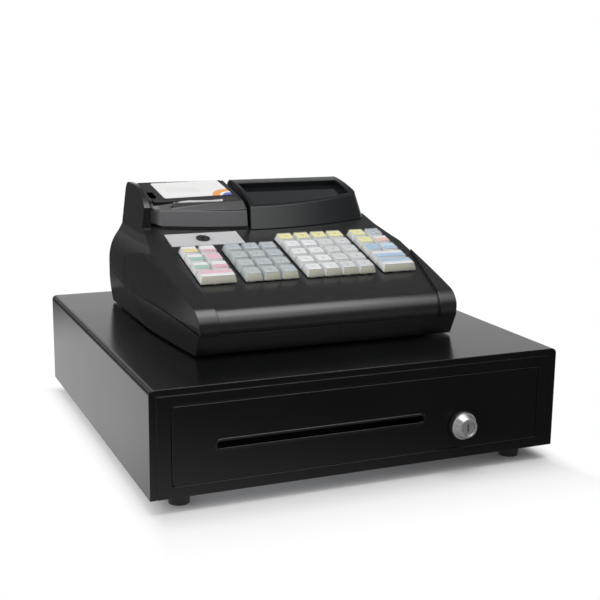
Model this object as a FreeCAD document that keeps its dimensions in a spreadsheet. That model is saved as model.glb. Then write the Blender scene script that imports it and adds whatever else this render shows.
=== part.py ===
# A cash register standing on a steel cash drawer. Millimetres, +Z up.
# The origin lies on the floor under the middle of the whole object, the drawer opens towards -Y.
import FreeCAD, Part
import math
import os
import re
import Sketcher

Vector = FreeCAD.Vector

# Every driving size: the cell's alias, its value and what it measures.
SIZES = [
    ("foot_height", 14.0, "rubber foot, floor to cabinet"),
    ("foot_width", 22.0, "rubber foot across its seat"),
    ("foot_tip_width", 19.0, "rubber foot across its tread"),
    ("foot_inset_x", 33.0, "foot centre from the cabinet's side"),
    ("foot_inset_y", 24.5, "foot centre from the cabinet's front or back"),
    ("foot_dimple", 8.0, "screw recess under a foot"),
    ("foot_dimple_depth", 5.0, "depth of that recess"),
    ("cab_width", 410.0, "cabinet, left to right"),
    ("cab_depth", 415.0, "cabinet, front to back"),
    ("cab_height", 98.5, "cabinet without its feet"),
    ("cab_sheet", 1.5, "steel sheet of cabinet and drawer"),
    ("cab_corner", 5.0, "rounding of the cabinet's long top edges"),
    ("cab_hem", 6.0, "hem of the cover round the front"),
    ("base_upstand", 15.0, "side flange of the base pan"),
    ("base_rib_width", 12.0, "stiffening rib of the base pan"),
    ("base_rib_height", 2.0, "height of such a rib"),
    ("base_rib_inset", 60.0, "rib from the cabinet's side"),
    ("cable_hole", 12.0, "hole for the drawer's lead in the back"),
    ("cable_hole_x", 120.0, "that hole from the middle"),
    ("frame_return", 12.0, "depth of the frame's lip round the drawer"),
    ("sheet_gap", 0.3, "gap between pressed parts that lie side by side"),
    ("door_width", 370.0, "drawer front, left to right"),
    ("door_height", 71.0, "drawer front, bottom to top"),
    ("door_low", 11.0, "drawer front above the cabinet's bottom"),
    ("door_gap", 0.8, "gap round the drawer front"),
    ("door_fold", 11.0, "folded edge of the drawer front"),
    ("door_corner", 3.0, "corner rounding of the drawer front"),
    ("slot_length", 204.0, "document slot in the drawer front"),
    ("slot_height", 6.5, "open height of that slot"),
    ("slot_middle_x", -42.3, "middle of the slot from the drawer's middle"),
    ("slot_middle_z", 32.5, "middle of the slot above the drawer front's edge"),
    ("slot_rim", 1.9, "width of the raised rim round the slot"),
    ("slot_rim_rise", 0.7, "how far that rim stands out"),
    ("lock_x", 101.5, "lock from the drawer's middle"),
    ("lock_z", 21.5, "lock above the drawer front's lower edge"),
    ("lock_collar_width", 28.0, "black collar of the lock"),
    ("lock_collar_depth", 5.0, "thickness of that collar"),
    ("lock_bezel_width", 24.0, "bright bezel at the collar"),
    ("lock_face_width", 18.6, "bright bezel at its face"),
    ("lock_bezel_depth", 7.5, "bezel from collar to face"),
    ("lock_body_width", 19.0, "threaded barrel behind the panel"),
    ("lock_body_depth", 24.0, "length of the barrel behind the panel"),
    ("lock_plug_width", 14.5, "turning plug"),
    ("lock_plug_sink", 0.6, "plug face below the bezel's rim"),
    ("lock_keyway_width", 1.8, "key slot"),
    ("lock_keyway_height", 8.0, "height of the key slot"),
    ("lock_keyway_depth", 9.0, "depth of the key slot"),
    ("lock_shank_width", 8.0, "square tail of the plug"),
    ("lock_cam_length", 20.0, "cam from the plug's axis to its tip"),
    ("lock_cam_width", 13.0, "width of the cam"),
    ("lock_cam_sheet", 2.0, "thickness of the cam"),
    ("pan_width", 356.0, "drawer pan, outside"),
    ("pan_room", 38.0, "room in the cabinet behind the drawer pan"),
    ("pan_height", 61.0, "drawer pan, outside"),
    ("pan_low", 2.5, "pan above the drawer front's lower edge"),
    ("runner_width", 7.0, "runner flange on the pan's side"),
    ("roller_height", 44.0, "roller axis above the cabinet's bottom"),
    ("roller_size", 14.0, "roller diameter"),
    ("roller_width", 5.5, "roller thickness"),
    ("roller_pin", 6.0, "roller pin diameter"),
    ("roller_play", 0.06, "running fit of a roller on its pin"),
    ("roller_lift", 0.05, "gap between a roller and what it carries"),
    ("front_roller_back", 34.0, "cabinet roller behind the front"),
    ("back_roller_inset", 13.0, "drawer roller from the pan's back"),
    ("rail_reach", 15.0, "width of the cabinet's channel rail"),
    ("rail_play", 0.6, "height left over a roller in its rail"),
    ("rail_start", 46.0, "channel rail behind the front"),
    ("rail_back_inset", 25.0, "channel rail from the back"),
    ("pin_head", 1.2, "thickness of a pin's head"),
    ("strike_width", 26.0, "latch strike on the pan's back"),
    ("strike_reach", 16.0, "how far the strike stands back"),
    ("strike_height", 9.0, "strike's upright lip"),
    ("strike_lift", 3.0, "strike above the pan's bottom"),
    ("hook_pivot_back", 10.0, "hook pivot from the cabinet's inner back"),
    ("hook_pivot_z", 36.0, "hook pivot above the cabinet's bottom"),
    ("hook_sheet", 6.0, "thickness of the hook"),
    ("hook_arm", 8.0, "width of the hook's arm"),
    ("hook_reach", 26.0, "hook's tip from its pivot"),
    ("hook_nose", 6.0, "width of the hook's nose"),
    ("hook_nose_drop", 9.0, "nose's end below the pivot"),
    ("hook_hub", 12.0, "hub round the hook's pivot"),
    ("hook_pin", 4.0, "hook pivot pin"),
    ("hook_play", 0.08, "hook on its pin"),
    ("ear_half", 12.0, "half distance between the pivot's ears"),
    ("ear_size", 12.0, "height of an ear"),
    ("latch_x", 0.0, "latch from the middle"),
    ("coil_width", 24.0, "solenoid frame, side to side"),
    ("coil_depth", 30.0, "solenoid frame, front to back"),
    ("coil_length", 36.0, "solenoid frame, height"),
    ("coil_lift", 16.0, "solenoid above the hook's pivot"),
    ("plunger_back", 18.0, "plunger axis from the cabinet's inner back"),
    ("plunger_size", 9.0, "plunger diameter"),
    ("plunger_tip", 3.0, "plunger's pushing tip"),
    ("plunger_play", 0.1, "plunger in its bore"),
    ("plunger_room", 6.0, "plunger's free depth in the coil"),
    ("eject_wire", 1.4, "wire of the eject spring"),
    ("eject_coil", 15.0, "middle diameter of the eject spring"),
    ("eject_x", -110.0, "eject spring from the middle"),
    ("eject_z", 34.0, "eject spring above the cabinet's bottom"),
    ("eject_pin", 8.0, "guide pin inside the spring"),
    ("tray_wall", 2.0, "wall of the cash tray"),
    ("tray_gap", 1.0, "gap between tray and pan"),
    ("tray_front_room", 44.0, "room between the pan's front and the tray"),
    ("tray_leg", 6.0, "legs under the tray"),
    ("tray_height", 50.0, "cash tray without its legs"),
    ("note_length", 172.0, "length of a note bay"),
    ("coin_scoop", 70.0, "radius of a coin cup's floor"),
    ("coin_floor", 5.0, "lowest point of a cup above the tray's bottom"),
    ("note_bays", 4.0, "number of note bays"),
    ("coin_cups", 5.0, "number of coin cups"),
    ("clip_sheet", 1.6, "thickness of a note clip"),
    ("clip_width", 22.0, "width of a note clip"),
    ("clip_hub", 7.0, "hub of a note clip"),
    ("clip_rod", 3.0, "rod on which the clips swing"),
    ("clip_play", 0.08, "hub on the rod"),
    ("clip_reach", 118.0, "clip from its rod to its tip"),
    ("clip_drop", 36.0, "how far the resting tip lies below the rod"),
    ("clip_rod_back", 11.0, "rod from the tray's back"),
    ("clip_rod_drop", 4.5, "rod below the tray's rim"),
    ("reg_setback", 75.5, "register's nose behind the cabinet's front"),
    ("reg_depth", 282.0, "register, nose to back"),
    ("pad_height", 2.0, "pads under the register"),
    ("pad_size", 14.0, "pad diameter"),
    ("pad_inset_x", 36.0, "pad from the register's side"),
    ("pad_inset_y", 34.0, "pad from the register's nose or back"),
    ("case_wall", 2.5, "moulded wall of the register"),
    ("case_foot_half", 147.0, "half width at the register's bottom"),
    ("case_waist_half", 151.8, "half width at the parting line"),
    ("case_waist_z", 50.0, "top of the bulging flank"),
    ("case_low_mid_half", 150.6, "half width half way up the lower flank"),
    ("case_low_mid_z", 22.0, "height of that place"),
    ("case_round_half", 148.0, "half width in the shoulder's curve"),
    ("case_round_z", 66.5, "height of that place"),
    ("case_shoulder_half", 139.0, "half width at the shoulder's top"),
    ("case_shoulder_z", 82.0, "height of the shoulder's top"),
    ("tower_foot_half", 134.5, "half width at the tower's foot"),
    ("tower_foot_z", 90.0, "height of the tower's foot"),
    ("tower_top_half", 128.5, "half width at the tower's top"),
    ("front_corner", 3.0, "plan rounding of the register's front corners"),
    ("flank_level", 30.0, "height at which the flanks are widest"),
    ("flank_front_half", 136.0, "half width at the nose, at that height"),
    ("flank_mid_half", 146.2, "half width between nose and waist"),
    ("flank_mid_y", 100.0, "that place behind the nose"),
    ("flank_lean", 0.126, "how much the flank leans in there for each step up"),
    ("flank_draft", 0.05, "how much the lower flanks draw in for each step down"),
    ("leaf_depth", 1.6, "sunk panel in each flank, at the nose"),
    ("leaf_edge", 1.0, "panel's edge below the deck"),
    ("leaf_near_y", 86.0, "place on the panel's edge"),
    ("leaf_mid_y", 137.0, "place on the panel's edge"),
    ("leaf_mid_z", 73.0, "height of the edge there"),
    ("leaf_far_y", 217.0, "back end of the panel"),
    ("leaf_far_z", 81.0, "height of the edge there"),
    ("back_corner", 9.0, "plan rounding of its back corners"),
    ("nose_radius", 21.5, "roll below the keyboard"),
    ("nose_z", 24.5, "middle of that roll"),
    ("chin_back", 11.0, "bottom edge behind the nose"),
    ("parting_front_z", 22.5, "parting line at the nose"),
    ("parting_near_y", 60.0, "place on the parting line"),
    ("parting_near_z", 28.8, "height of the line there"),
    ("parting_mid_y", 140.0, "place on the parting line"),
    ("parting_mid_z", 31.5, "height of the line there"),
    ("parting_far_y", 215.0, "place on the parting line"),
    ("parting_far_z", 36.2, "height of the line there"),
    ("parting_back_z", 49.0, "parting line at the back"),
    ("parting_gap", 0.4, "shadow gap between the shells"),
    ("deck_slope", 15.0, "slope of the keyboard in degrees"),
    ("deck_zero_y", 132.0, "deck's own zero behind the nose"),
    ("ridge_rise", 2.5, "side ridges above the deck"),
    ("ridge_end_y", 108.0, "back end of the ridges behind the nose"),
    ("ridge_front_half", 116.0, "half distance between the ridges at the nose"),
    ("ridge_left_mid_y", 56.0, "bend in the left ridge behind the nose"),
    ("ridge_left_mid_half", 118.5, "left ridge from the middle at its bend"),
    ("ridge_left_end_half", 123.3, "left ridge from the middle at its end"),
    ("ridge_right_mid_y", 22.0, "bend in the right ridge behind the nose"),
    ("ridge_right_mid_half", 122.2, "right ridge from the middle at its bend"),
    ("ridge_right_end_half", 140.6, "right ridge from the middle at its end"),
    ("tower_y", 189.5, "tower's face behind the nose, at the middle"),
    ("tower_bow", 600.0, "plan radius of the tower's face"),
    ("tower_lean", 4.0, "how far the face leans back to its shoulder"),
    ("tower_shoulder_z", 112.0, "shoulder above the grey panel"),
    ("tower_brow", 11.5, "how far the brow leans back from shoulder to slot"),
    ("facet_half", 112.0, "corner where the tower's face turns back, from the middle"),
    ("facet_end_half", 123.0, "end of the turned face, from the middle"),
    ("deck_end_y", 213.0, "back end of the sloping deck and of the groove beside the cheek"),
    ("tower_slot_y", 205.0, "paper slot behind the nose"),
    ("tower_slot_z", 119.5, "tower's top at the slot"),
    ("tower_back_z", 135.0, "tower's top at the back"),
    ("cheek_width", 4.5, "left cheek of the tower"),
    ("cheek_y", 199.0, "cheek's front edge behind the nose"),
    ("cheek_knee_z", 117.0, "top of the cheek's upright front"),
    ("cheek_mid_y", 222.0, "place on the cheek's curve"),
    ("cheek_mid_z", 130.5, "height of the curve there"),
    ("cheek_far_y", 252.0, "end of the cheek's curve"),
    ("cheek_far_z", 137.0, "cheek's top"),
    ("bay_side", 11.0, "tower left of the printer bay, at its top"),
    ("bay_right", -20.0, "right side of the printer bay"),
    ("bay_back_wall", 4.0, "tower behind the printer bay"),
    ("cover_gap", 0.5, "gap round the printer cover"),
    ("cover_wall", 2.4, "thickness of the printer cover"),
    ("cover_start_y", 213.0, "front edge of the cover behind the nose"),
    ("cover_skirt", 7.0, "depth of the cover's side skirts"),
    ("cover_hinge_size", 5.0, "cover's hinge knuckles"),
    ("cover_hinge_pin", 2.4, "hinge pin"),
    ("cover_hinge_play", 0.06, "knuckles on the pin"),
    ("cover_hinge_share", 0.6, "hinge axis below the top, in knuckles"),
    ("cover_notch", 7.0, "width of the finger notch beside the cover"),
    ("cover_notch_y", 222.0, "notch's front end behind the nose"),
    ("cover_notch_length", 22.0, "length of the notch"),
    ("label_length", 80.0, "white card on the cover"),
    ("label_depth", 50.0, "front to back of that card"),
    ("label_corner", 3.0, "its rounded corners"),
    ("label_x", -63.5, "its middle"),
    ("label_y", 247.5, "its middle behind the nose"),
    ("label_turn", 3.4, "how far it lies askew, in degrees"),
    ("label_sheet", 0.5, "its thickness"),
    ("slot_paper_width", 58.0, "paper slot, left to right"),
    ("slot_paper_gap", 2.8, "open width of the paper slot"),
    ("bar_depth", 5.0, "tear bar below the tower's top"),
    ("bar_sheet", 1.0, "tear bar thickness"),
    ("bar_tooth", 2.0, "pitch of the tear bar's teeth"),
    ("stub_rise", 2.6, "paper stub above the slot"),
    ("stub_sheet", 0.3, "paper stub thickness"),
    ("roll_width", 57.0, "paper roll, left to right"),
    ("roll_size", 44.0, "paper roll diameter"),
    ("roll_core", 12.0, "core of the roll"),
    ("roll_spindle", 11.4, "spindle through the core"),
    ("roll_y", 246.0, "roll axis behind the nose"),
    ("roll_z", 96.0, "roll axis above the cabinet"),
    ("printer_sheet", 2.0, "side plates of the printer"),
    ("platen_size", 11.0, "platen roller diameter"),
    ("platen_shaft", 4.0, "platen shaft"),
    ("platen_play", 0.08, "shaft in its plates"),
    ("platen_y", 211.0, "platen axis behind the nose"),
    ("platen_z", 106.0, "platen axis above the cabinet"),
    ("panel_wall", 1.5, "grey panel on the tower"),
    ("panel_low", 2.2, "panel's lower edge above the deck"),
    ("panel_top_z", 109.2, "panel's upper edge at the tower's foot"),
    ("panel_top_rise", 0.3, "rise of that edge for each step back"),
    ("hood_left", -17.0, "left foot of the display hood"),
    ("hood_right", 130.0, "right foot of the display hood"),
    ("hood_left_lean", 9.0, "how far its left wall leans in"),
    ("hood_right_lean", 6.0, "how far its right wall leans in"),
    ("hood_corner", 9.0, "rounding of its right front corner"),
    ("hood_front_y", 182.5, "hood's foot behind the nose, at the middle"),
    ("hood_ledge_y", 196.0, "ledge under the window"),
    ("hood_ledge_z", 113.5, "height of that ledge"),
    ("hood_mid_y", 230.0, "place on the hood's roof line"),
    ("hood_mid_z", 127.0, "height of the line there"),
    ("hood_far_z", 135.5, "hood's top at the back"),
    ("hood_wall", 2.5, "wall of the hood"),
    ("hood_foot_gap", 0.3, "hood above the deck"),
    ("window_ledge", 4.0, "ledge in front of the window"),
    ("window_start_y", 200.0, "front edge of the window"),
    ("window_start_z", 111.5, "window's height there"),
    ("window_depth", 59.2, "window, front to back"),
    ("window_slope", 15.7, "slope of the window in degrees"),
    ("window_left", -6.0, "left side of the window"),
    ("window_right", 117.0, "right side of the window"),
    ("window_wall", 2.0, "thickness of the window"),
    ("window_gap", 0.3, "gap round the window"),
    ("plate_length", 80.0, "mode plate, left to right"),
    ("plate_depth", 31.0, "mode plate, along the deck"),
    ("plate_sheet", 0.8, "mode plate thickness"),
    ("plate_x", -75.0, "plate's middle"),
    ("plate_along", 35.0, "plate's middle along the deck"),
    ("mode_x", -76.8, "mode lock's middle"),
    ("mode_along", 35.6, "mode lock's middle along the deck"),
    ("mode_size", 15.0, "mode lock's turning face"),
    ("mode_rise", 0.8, "face above the plate"),
    ("mode_body", 20.0, "depth of the mode lock under the deck"),
    ("mode_play", 0.1, "plug in its socket"),
    ("mode_socket_wall", 2.0, "wall of that socket"),
    ("mode_keyway_width", 1.6, "key slot of the mode lock"),
    ("mode_keyway_length", 7.0, "length of that slot"),
    ("mode_keyway_depth", 5.0, "depth of that slot"),
    ("key_pitch", 19.3, "keys, middle to middle"),
    ("key_base", 18.7, "key cap at its skirt"),
    ("key_top_width", 15.2, "key cap's face, left to right"),
    ("key_top_depth", 13.6, "key cap's face, along the deck"),
    ("key_top_shift", 0.9, "face set back from the middle of the cap"),
    ("key_skirt", 1.6, "upright skirt of a cap"),
    ("key_rise", 9.2, "cap above the deck"),
    ("key_float", 0.7, "skirt above the deck"),
    ("key_stem", 7.0, "square stem under a cap"),
    ("key_stem_play", 0.15, "stem in its well, each side"),
    ("key_stem_reach", 8.0, "stem's end below the deck"),
    ("key_opening_gap", 0.5, "deck opening round a block of keys"),
    ("block_gap", 8.2, "extra room between blocks of keys"),
    ("first_key_x", -104.6, "middle of the leftmost column"),
    ("first_row_along", 13.6, "middle of the topmost row along the deck"),
    ("well_plate", 5.0, "key guide plate"),
    ("well_margin", 6.0, "guide plate beyond the keys"),
    ("board_sheet", 1.6, "circuit board under the keys"),
    ("board_drop", 4.5, "board below the guide plate"),
    ("board_post", 5.0, "posts between plate and board"),
    ("screw_head", 7.0, "screw heads"),
    ("screw_head_rise", 2.0, "height of a screw head"),
    ("screw_shank", 3.5, "screw shanks"),
    ("screw_length", 9.0, "length of a shank in its upper boss"),
    ("boss_x", 125.0, "screw bosses from the middle"),
    ("boss_front_y", 44.0, "front bosses behind the nose"),
    ("boss_back_y", 262.0, "rear bosses behind the nose"),
    ("overrun", 1.0, "how far a cut runs past a face"),
]


class Size:
    """A number together with the sheet expression that gives it."""

    def __init__(self, number, text=None):
        self.number = float(number)
        self.text = text if text else repr(float(number))

    def __float__(self):
        return self.number

    def __add__(self, other):
        other = size_of(other)
        return Size(self.number + other.number, f"({self.text} + {other.text})")

    def __sub__(self, other):
        other = size_of(other)
        return Size(self.number - other.number, f"({self.text} - {other.text})")

    def __mul__(self, other):
        other = size_of(other)
        return Size(self.number * other.number, f"({self.text} * {other.text})")

    def __truediv__(self, other):
        other = size_of(other)
        return Size(self.number / other.number, f"({self.text} / {other.text})")

    def __neg__(self):
        return Size(-self.number, f"(-{self.text})")

    def __radd__(self, other):
        return size_of(other) + self

    def __rsub__(self, other):
        return size_of(other) - self

    def __rmul__(self, other):
        return size_of(other) * self


def size_of(value):
    return value if isinstance(value, Size) else Size(value)


class Sheet:
    """The spreadsheet of driving sizes; an attribute is one size."""

    def __init__(self, doc):
        self.cells = doc.addObject("Spreadsheet::Sheet", "Sizes")
        for row, (alias, value, note) in enumerate(SIZES, 1):
            self.cells.set(f"A{row}", alias)
            self.cells.set(f"B{row}", repr(value))
            self.cells.set(f"C{row}", note)
            self.cells.setAlias(f"B{row}", alias)
        doc.recompute()

    def __getattr__(self, alias):
        return Size(self.cells.get(alias), f"Sizes.{alias}")


doc = FreeCAD.newDocument("register")
s = Sheet(doc)
sub_parts = {}


def slope_of(angle, name):
    """Sine, cosine or tangent of an angle of the sheet."""
    return Size(getattr(math, name)(math.radians(angle.number)), f"{name}({angle.text})")


def bind(item, **sizes):
    for prop, size in sizes.items():
        item.setExpression(prop, size_of(size).text)


def keep(name, item):
    """Give a finished piece its name; the name is its node and its file."""
    item.Label = name
    sub_parts[name] = item
    return item


# Solid primitives

def block(x_range, y_range, z_range):
    """A box between pairs of coordinates."""
    box = doc.addObject("Part::Box", "Block")
    lows = [size_of(r[0]) for r in (x_range, y_range, z_range)]
    spans = [size_of(r[1]) - r[0] for r in (x_range, y_range, z_range)]
    bind(box, Length=spans[0], Width=spans[1], Height=spans[2])
    for axis, low in zip("xyz", lows):
        box.setExpression(f"Placement.Base.{axis}", low.text)
    return box


TURNS = {"X": FreeCAD.Rotation(Vector(0, 1, 0), 90),
         "Y": FreeCAD.Rotation(Vector(1, 0, 0), -90),
         "Z": FreeCAD.Rotation()}


def rod(axis, start, diameter, length, tip_diameter=None):
    """A cylinder or cone that runs along +axis from a start point."""
    kind = "Part::Cone" if tip_diameter is not None else "Part::Cylinder"
    item = doc.addObject(kind, "Rod")
    if tip_diameter is None:
        bind(item, Radius=size_of(diameter) / 2, Height=length)
    else:
        bind(item, Radius1=size_of(diameter) / 2, Radius2=size_of(tip_diameter) / 2, Height=length)
    item.Placement = FreeCAD.Placement(Vector(*[float(v) for v in start]), TURNS[axis])
    for name, value in zip("xyz", start):
        item.setExpression(f"Placement.Base.{name}", size_of(value).text)
    return item


def fuse(*items):
    if len(items) == 1:
        return items[0]
    union = doc.addObject("Part::MultiFuse", "Union")
    union.Shapes = list(items)
    union.Refine = True
    return union


def cut(base, *tools):
    result = doc.addObject("Part::Cut", "Cut")
    result.Base = base
    result.Tool = fuse(*tools)
    result.Refine = True
    return result


def common(*items):
    result = doc.addObject("Part::MultiCommon", "Common")
    result.Shapes = list(items)
    result.Refine = True
    return result


def mirror(item, x=0):
    """The same piece on the other side of a plane across X."""
    twin = doc.addObject("Part::Mirroring", "Twin")
    twin.Source = item
    twin.Normal = Vector(1, 0, 0)
    twin.Base = Vector(float(x), 0, 0)
    return twin


def mirror_y(item, y=0):
    twin = doc.addObject("Part::Mirroring", "Twin")
    twin.Source = item
    twin.Normal = Vector(0, 1, 0)
    twin.Base = Vector(0, float(y), 0)
    return twin


def group(*items):
    """Separate solids of one node."""
    bundle = doc.addObject("Part::Compound", "Group")
    bundle.Links = list(items)
    return bundle


# Bodies made from sketches

AXIS_X = Vector(1, 0, 0)
AXIS_Y = Vector(0, 1, 0)
AXIS_Z = Vector(0, 0, 1)
SMALL = 0.01
QUARTER_TURN = 90
PLANES = {"X": "YZ_Plane", "Y": "XZ_Plane", "Z": "XY_Plane"}


def new_body():
    return doc.addObject("PartDesign::Body", "Body")


def sketch_on(body, axis, level):
    """A sketch square to an axis, at a level along that axis."""
    plane = [f for f in body.Origin.OriginFeatures if f.Role == PLANES[axis]][0]
    sketch = body.newObject("Sketcher::SketchObject", "Sketch")
    sketch.AttachmentSupport = (plane, [""])
    sketch.MapMode = "FlatFace"
    offset = -size_of(level) if axis == "Y" else size_of(level)
    sketch.setExpression("AttachmentOffset.Base.z", offset.text)
    return sketch


def fix(sketch, kind, index, place, size):
    number = sketch.addConstraint(Sketcher.Constraint(kind, -1, 1, index, place, float(size)))
    sketch.setExpression(f"Constraints[{number}]", size_of(size).text)


def via(u, v):
    """A place half way along a side of an outline; it bends that side into an arc."""
    return (u, v, "via")


def draw_outline(sketch, points):
    """A closed outline of lines and arcs, each corner and each via held by two sizes."""
    corners = []
    for point in points:
        if len(point) == 2:
            corners.append([point])
        else:
            corners[-1].append(point)
    places = [Vector(float(c[0][0]), float(c[0][1]), 0) for c in corners]
    sides = []
    for i, corner in enumerate(corners):
        start = places[i]
        end = places[(i + 1) % len(corners)]
        if len(corner) == 1:
            side = sketch.addGeometry(Part.LineSegment(start, end))
        else:
            middle = Vector(float(corner[1][0]), float(corner[1][1]), 0)
            side = sketch.addGeometry(Part.ArcOfCircle(start, middle, end))
            mark = sketch.addGeometry(Part.Point(middle), True)
            sketch.addConstraint(Sketcher.Constraint("PointOnObject", mark, 1, side))
            fix(sketch, "DistanceX", mark, 1, corner[1][0])
            fix(sketch, "DistanceY", mark, 1, corner[1][1])
        forward = sketch.getPoint(side, 1).distanceToPoint(start) < SMALL
        sides.append((side, 1 if forward else 2, 2 if forward else 1))
    for i, (side, begins, ends) in enumerate(sides):
        following = sides[(i + 1) % len(sides)]
        sketch.addConstraint(Sketcher.Constraint("Coincident", side, ends, following[0], following[1]))
    for (side, begins, ends), corner in zip(sides, corners):
        fix(sketch, "DistanceX", side, begins, corner[0][0])
        fix(sketch, "DistanceY", side, begins, corner[0][1])


def draw_circle(sketch, centre, diameter):
    radius = size_of(diameter) / 2
    middle = Vector(float(centre[0]), float(centre[1]), 0)
    index = sketch.addGeometry(Part.Circle(middle, Vector(0, 0, 1), float(radius)))
    fix(sketch, "DistanceX", index, 3, centre[0])
    fix(sketch, "DistanceY", index, 3, centre[1])
    number = sketch.addConstraint(Sketcher.Constraint("Radius", index, float(radius)))
    sketch.setExpression(f"Constraints[{number}]", radius.text)


def rectangle(u_range, v_range):
    return [(u_range[0], v_range[0]), (u_range[1], v_range[0]),
            (u_range[1], v_range[1]), (u_range[0], v_range[1])]


def pad(body, axis, low, high, outline=None, circle=None):
    """Material between two levels of an axis."""
    sketch = sketch_on(body, axis, low)
    if circle:
        draw_circle(sketch, *circle)
    else:
        draw_outline(sketch, outline)
    feature = body.newObject("PartDesign::Pad", "Pad")
    feature.Profile = sketch
    bind(feature, Length=size_of(high) - low)
    feature.Reversed = axis == "Y"
    return feature


def pocket(body, axis, low, high, outline=None, circle=None):
    """A cut between two levels of an axis."""
    before = body.Tip
    sketch = sketch_on(body, axis, low)
    if circle:
        draw_circle(sketch, *circle)
    else:
        draw_outline(sketch, outline)
    feature = body.newObject("PartDesign::Pocket", "Pocket")
    feature.Profile = sketch
    bind(feature, Length=size_of(high) - low)
    feature.Reversed = axis != "Y"
    doc.recompute()
    if not feature.Shape.Volume < before.Shape.Volume:
        raise ValueError(f"a pocket of {body.Name} cuts nothing")
    return feature


def revolve(body, outline):
    """A turned piece: radius and height pairs, spun about Z."""
    sketch = sketch_on(body, "Y", 0)
    draw_outline(sketch, outline)
    feature = body.newObject("PartDesign::Revolution", "Turned")
    feature.Profile = sketch
    feature.ReferenceAxis = (sketch, ["V_Axis"])
    feature.Angle = 360
    return feature


def prism(axis, low, high, outline):
    """A solid of one outline between two levels."""
    body = new_body()
    pad(body, axis, low, high, outline)
    return body


def ruled(axis, low, high, low_outline, high_outline):
    """A solid between two outlines of as many corners, at two levels."""
    body = new_body()
    lower = sketch_on(body, axis, low)
    draw_outline(lower, low_outline)
    upper = sketch_on(body, axis, high)
    draw_outline(upper, high_outline)
    loft = body.newObject("PartDesign::AdditiveLoft", "Loft")
    loft.Profile = lower
    loft.Sections = [upper]
    loft.Ruled = True
    return body


def round_edges(body, chosen, radius, kind="Fillet"):
    """Round, or bevel, the edges that a test picks out."""
    doc.recompute()
    base = body.Tip
    names = [f"Edge{i}" for i, edge in enumerate(base.Shape.Edges, 1) if chosen(edge)]
    if not names:
        raise ValueError(f"no edge of {body.Name} to round")
    feature = body.newObject(f"PartDesign::{kind}", kind)
    feature.Base = (base, names)
    bind(feature, **{"Radius" if kind == "Fillet" else "Size": radius})
    return feature


def runs_along(edge, axis):
    """Whether an edge is straight and parallel to an axis."""
    if edge.Curve.TypeId != "Part::GeomLine":
        return False
    return abs(edge.tangentAt(edge.FirstParameter).dot(axis)) > 0.999


# Levels that several pieces share
lock_out = s.lock_collar_depth + s.lock_bezel_depth
front_y = lock_out / 2 - s.cab_depth / 2
back_y = front_y + s.cab_depth
side_x = s.cab_width / 2
floor_z = s.foot_height
roof_z = floor_z + s.cab_height
inner_x = side_x - s.cab_sheet
inner_back_y = back_y - s.cab_sheet
door_x = s.door_width / 2
door_z = floor_z + s.door_low
door_top_z = door_z + s.door_height
lock_axis_z = door_z + s.lock_z
pan_x = s.pan_width / 2
pan_front_y = front_y + s.cab_sheet
pan_back_y = inner_back_y - s.pan_room
pan_z = door_z + s.pan_low
pan_top_z = pan_z + s.pan_height
roller_z = floor_z + s.roller_height
front_roller_y = front_y + s.front_roller_back
back_roller_y = pan_back_y - s.back_roller_inset
slope_tan = slope_of(s.deck_slope, "tan")
slope_sin = slope_of(s.deck_slope, "sin")
slope_cos = slope_of(s.deck_slope, "cos")
reg_y = front_y + s.reg_setback
reg_back_y = reg_y + s.reg_depth


# Cabinet

def cabinet_cover():
    body = new_body()
    pad(body, "Y", front_y, back_y, rectangle((-side_x, side_x), (floor_z, roof_z)))
    round_edges(body, lambda e: runs_along(e, AXIS_Y) and e.BoundBox.ZMin > float(roof_z) - SMALL,
                s.cab_corner)
    pocket(body, "Y", front_y + s.cab_sheet, back_y + s.overrun,
           rectangle((-inner_x, inner_x), (floor_z - s.overrun, roof_z - s.cab_sheet)))
    hem_x = side_x - s.cab_hem
    pocket(body, "Y", front_y - s.overrun, front_y + s.cab_sheet + s.overrun,
           rectangle((-hem_x, hem_x), (floor_z - s.overrun, roof_z - s.cab_hem)))
    keep("cabinet_cover", body)


def cabinet_base():
    body = new_body()
    start_y = front_y + s.cab_sheet
    top_z = roof_z - s.cab_sheet
    pad(body, "Z", floor_z, top_z, rectangle((-inner_x, inner_x), (start_y, back_y)))
    web_x = inner_x - s.cab_sheet
    pocket(body, "Y", start_y - s.overrun, inner_back_y,
           rectangle((-web_x, web_x), (floor_z + s.cab_sheet, top_z + s.overrun)))
    over_x = inner_x + s.overrun
    pocket(body, "Y", start_y - s.overrun, inner_back_y,
           rectangle((-over_x, over_x), (floor_z + s.base_upstand, top_z + s.overrun)))
    for side in (-1, 1):
        middle = side * (side_x - s.base_rib_inset)
        pad(body, "Z", floor_z + s.cab_sheet, floor_z + s.cab_sheet + s.base_rib_height,
            rectangle((middle - s.base_rib_width / 2, middle + s.base_rib_width / 2),
                      (start_y + s.base_rib_inset, inner_back_y - s.base_rib_inset)))
    pocket(body, "Y", inner_back_y - s.overrun, back_y + s.overrun,
           circle=((s.cable_hole_x, floor_z + s.cab_height / 2), s.cable_hole))
    pin = rod("X", (s.latch_x - s.ear_half, hook_y, hook_z), s.hook_pin, s.ear_half * 2)
    ears = [block((low, low + s.cab_sheet), (hook_y - s.ear_size / 2, inner_back_y),
                  (hook_z - s.ear_size / 2, hook_z + s.ear_size / 2))
            for low in (s.latch_x - s.ear_half - s.cab_sheet, s.latch_x + s.ear_half)]
    guide = rod("Y", (s.eject_x, pan_back_y + s.sheet_gap, eject_z), s.eject_pin,
                inner_back_y - pan_back_y - s.sheet_gap)
    keep("cabinet_base", fuse(body, pin, *ears, guide))


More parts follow.
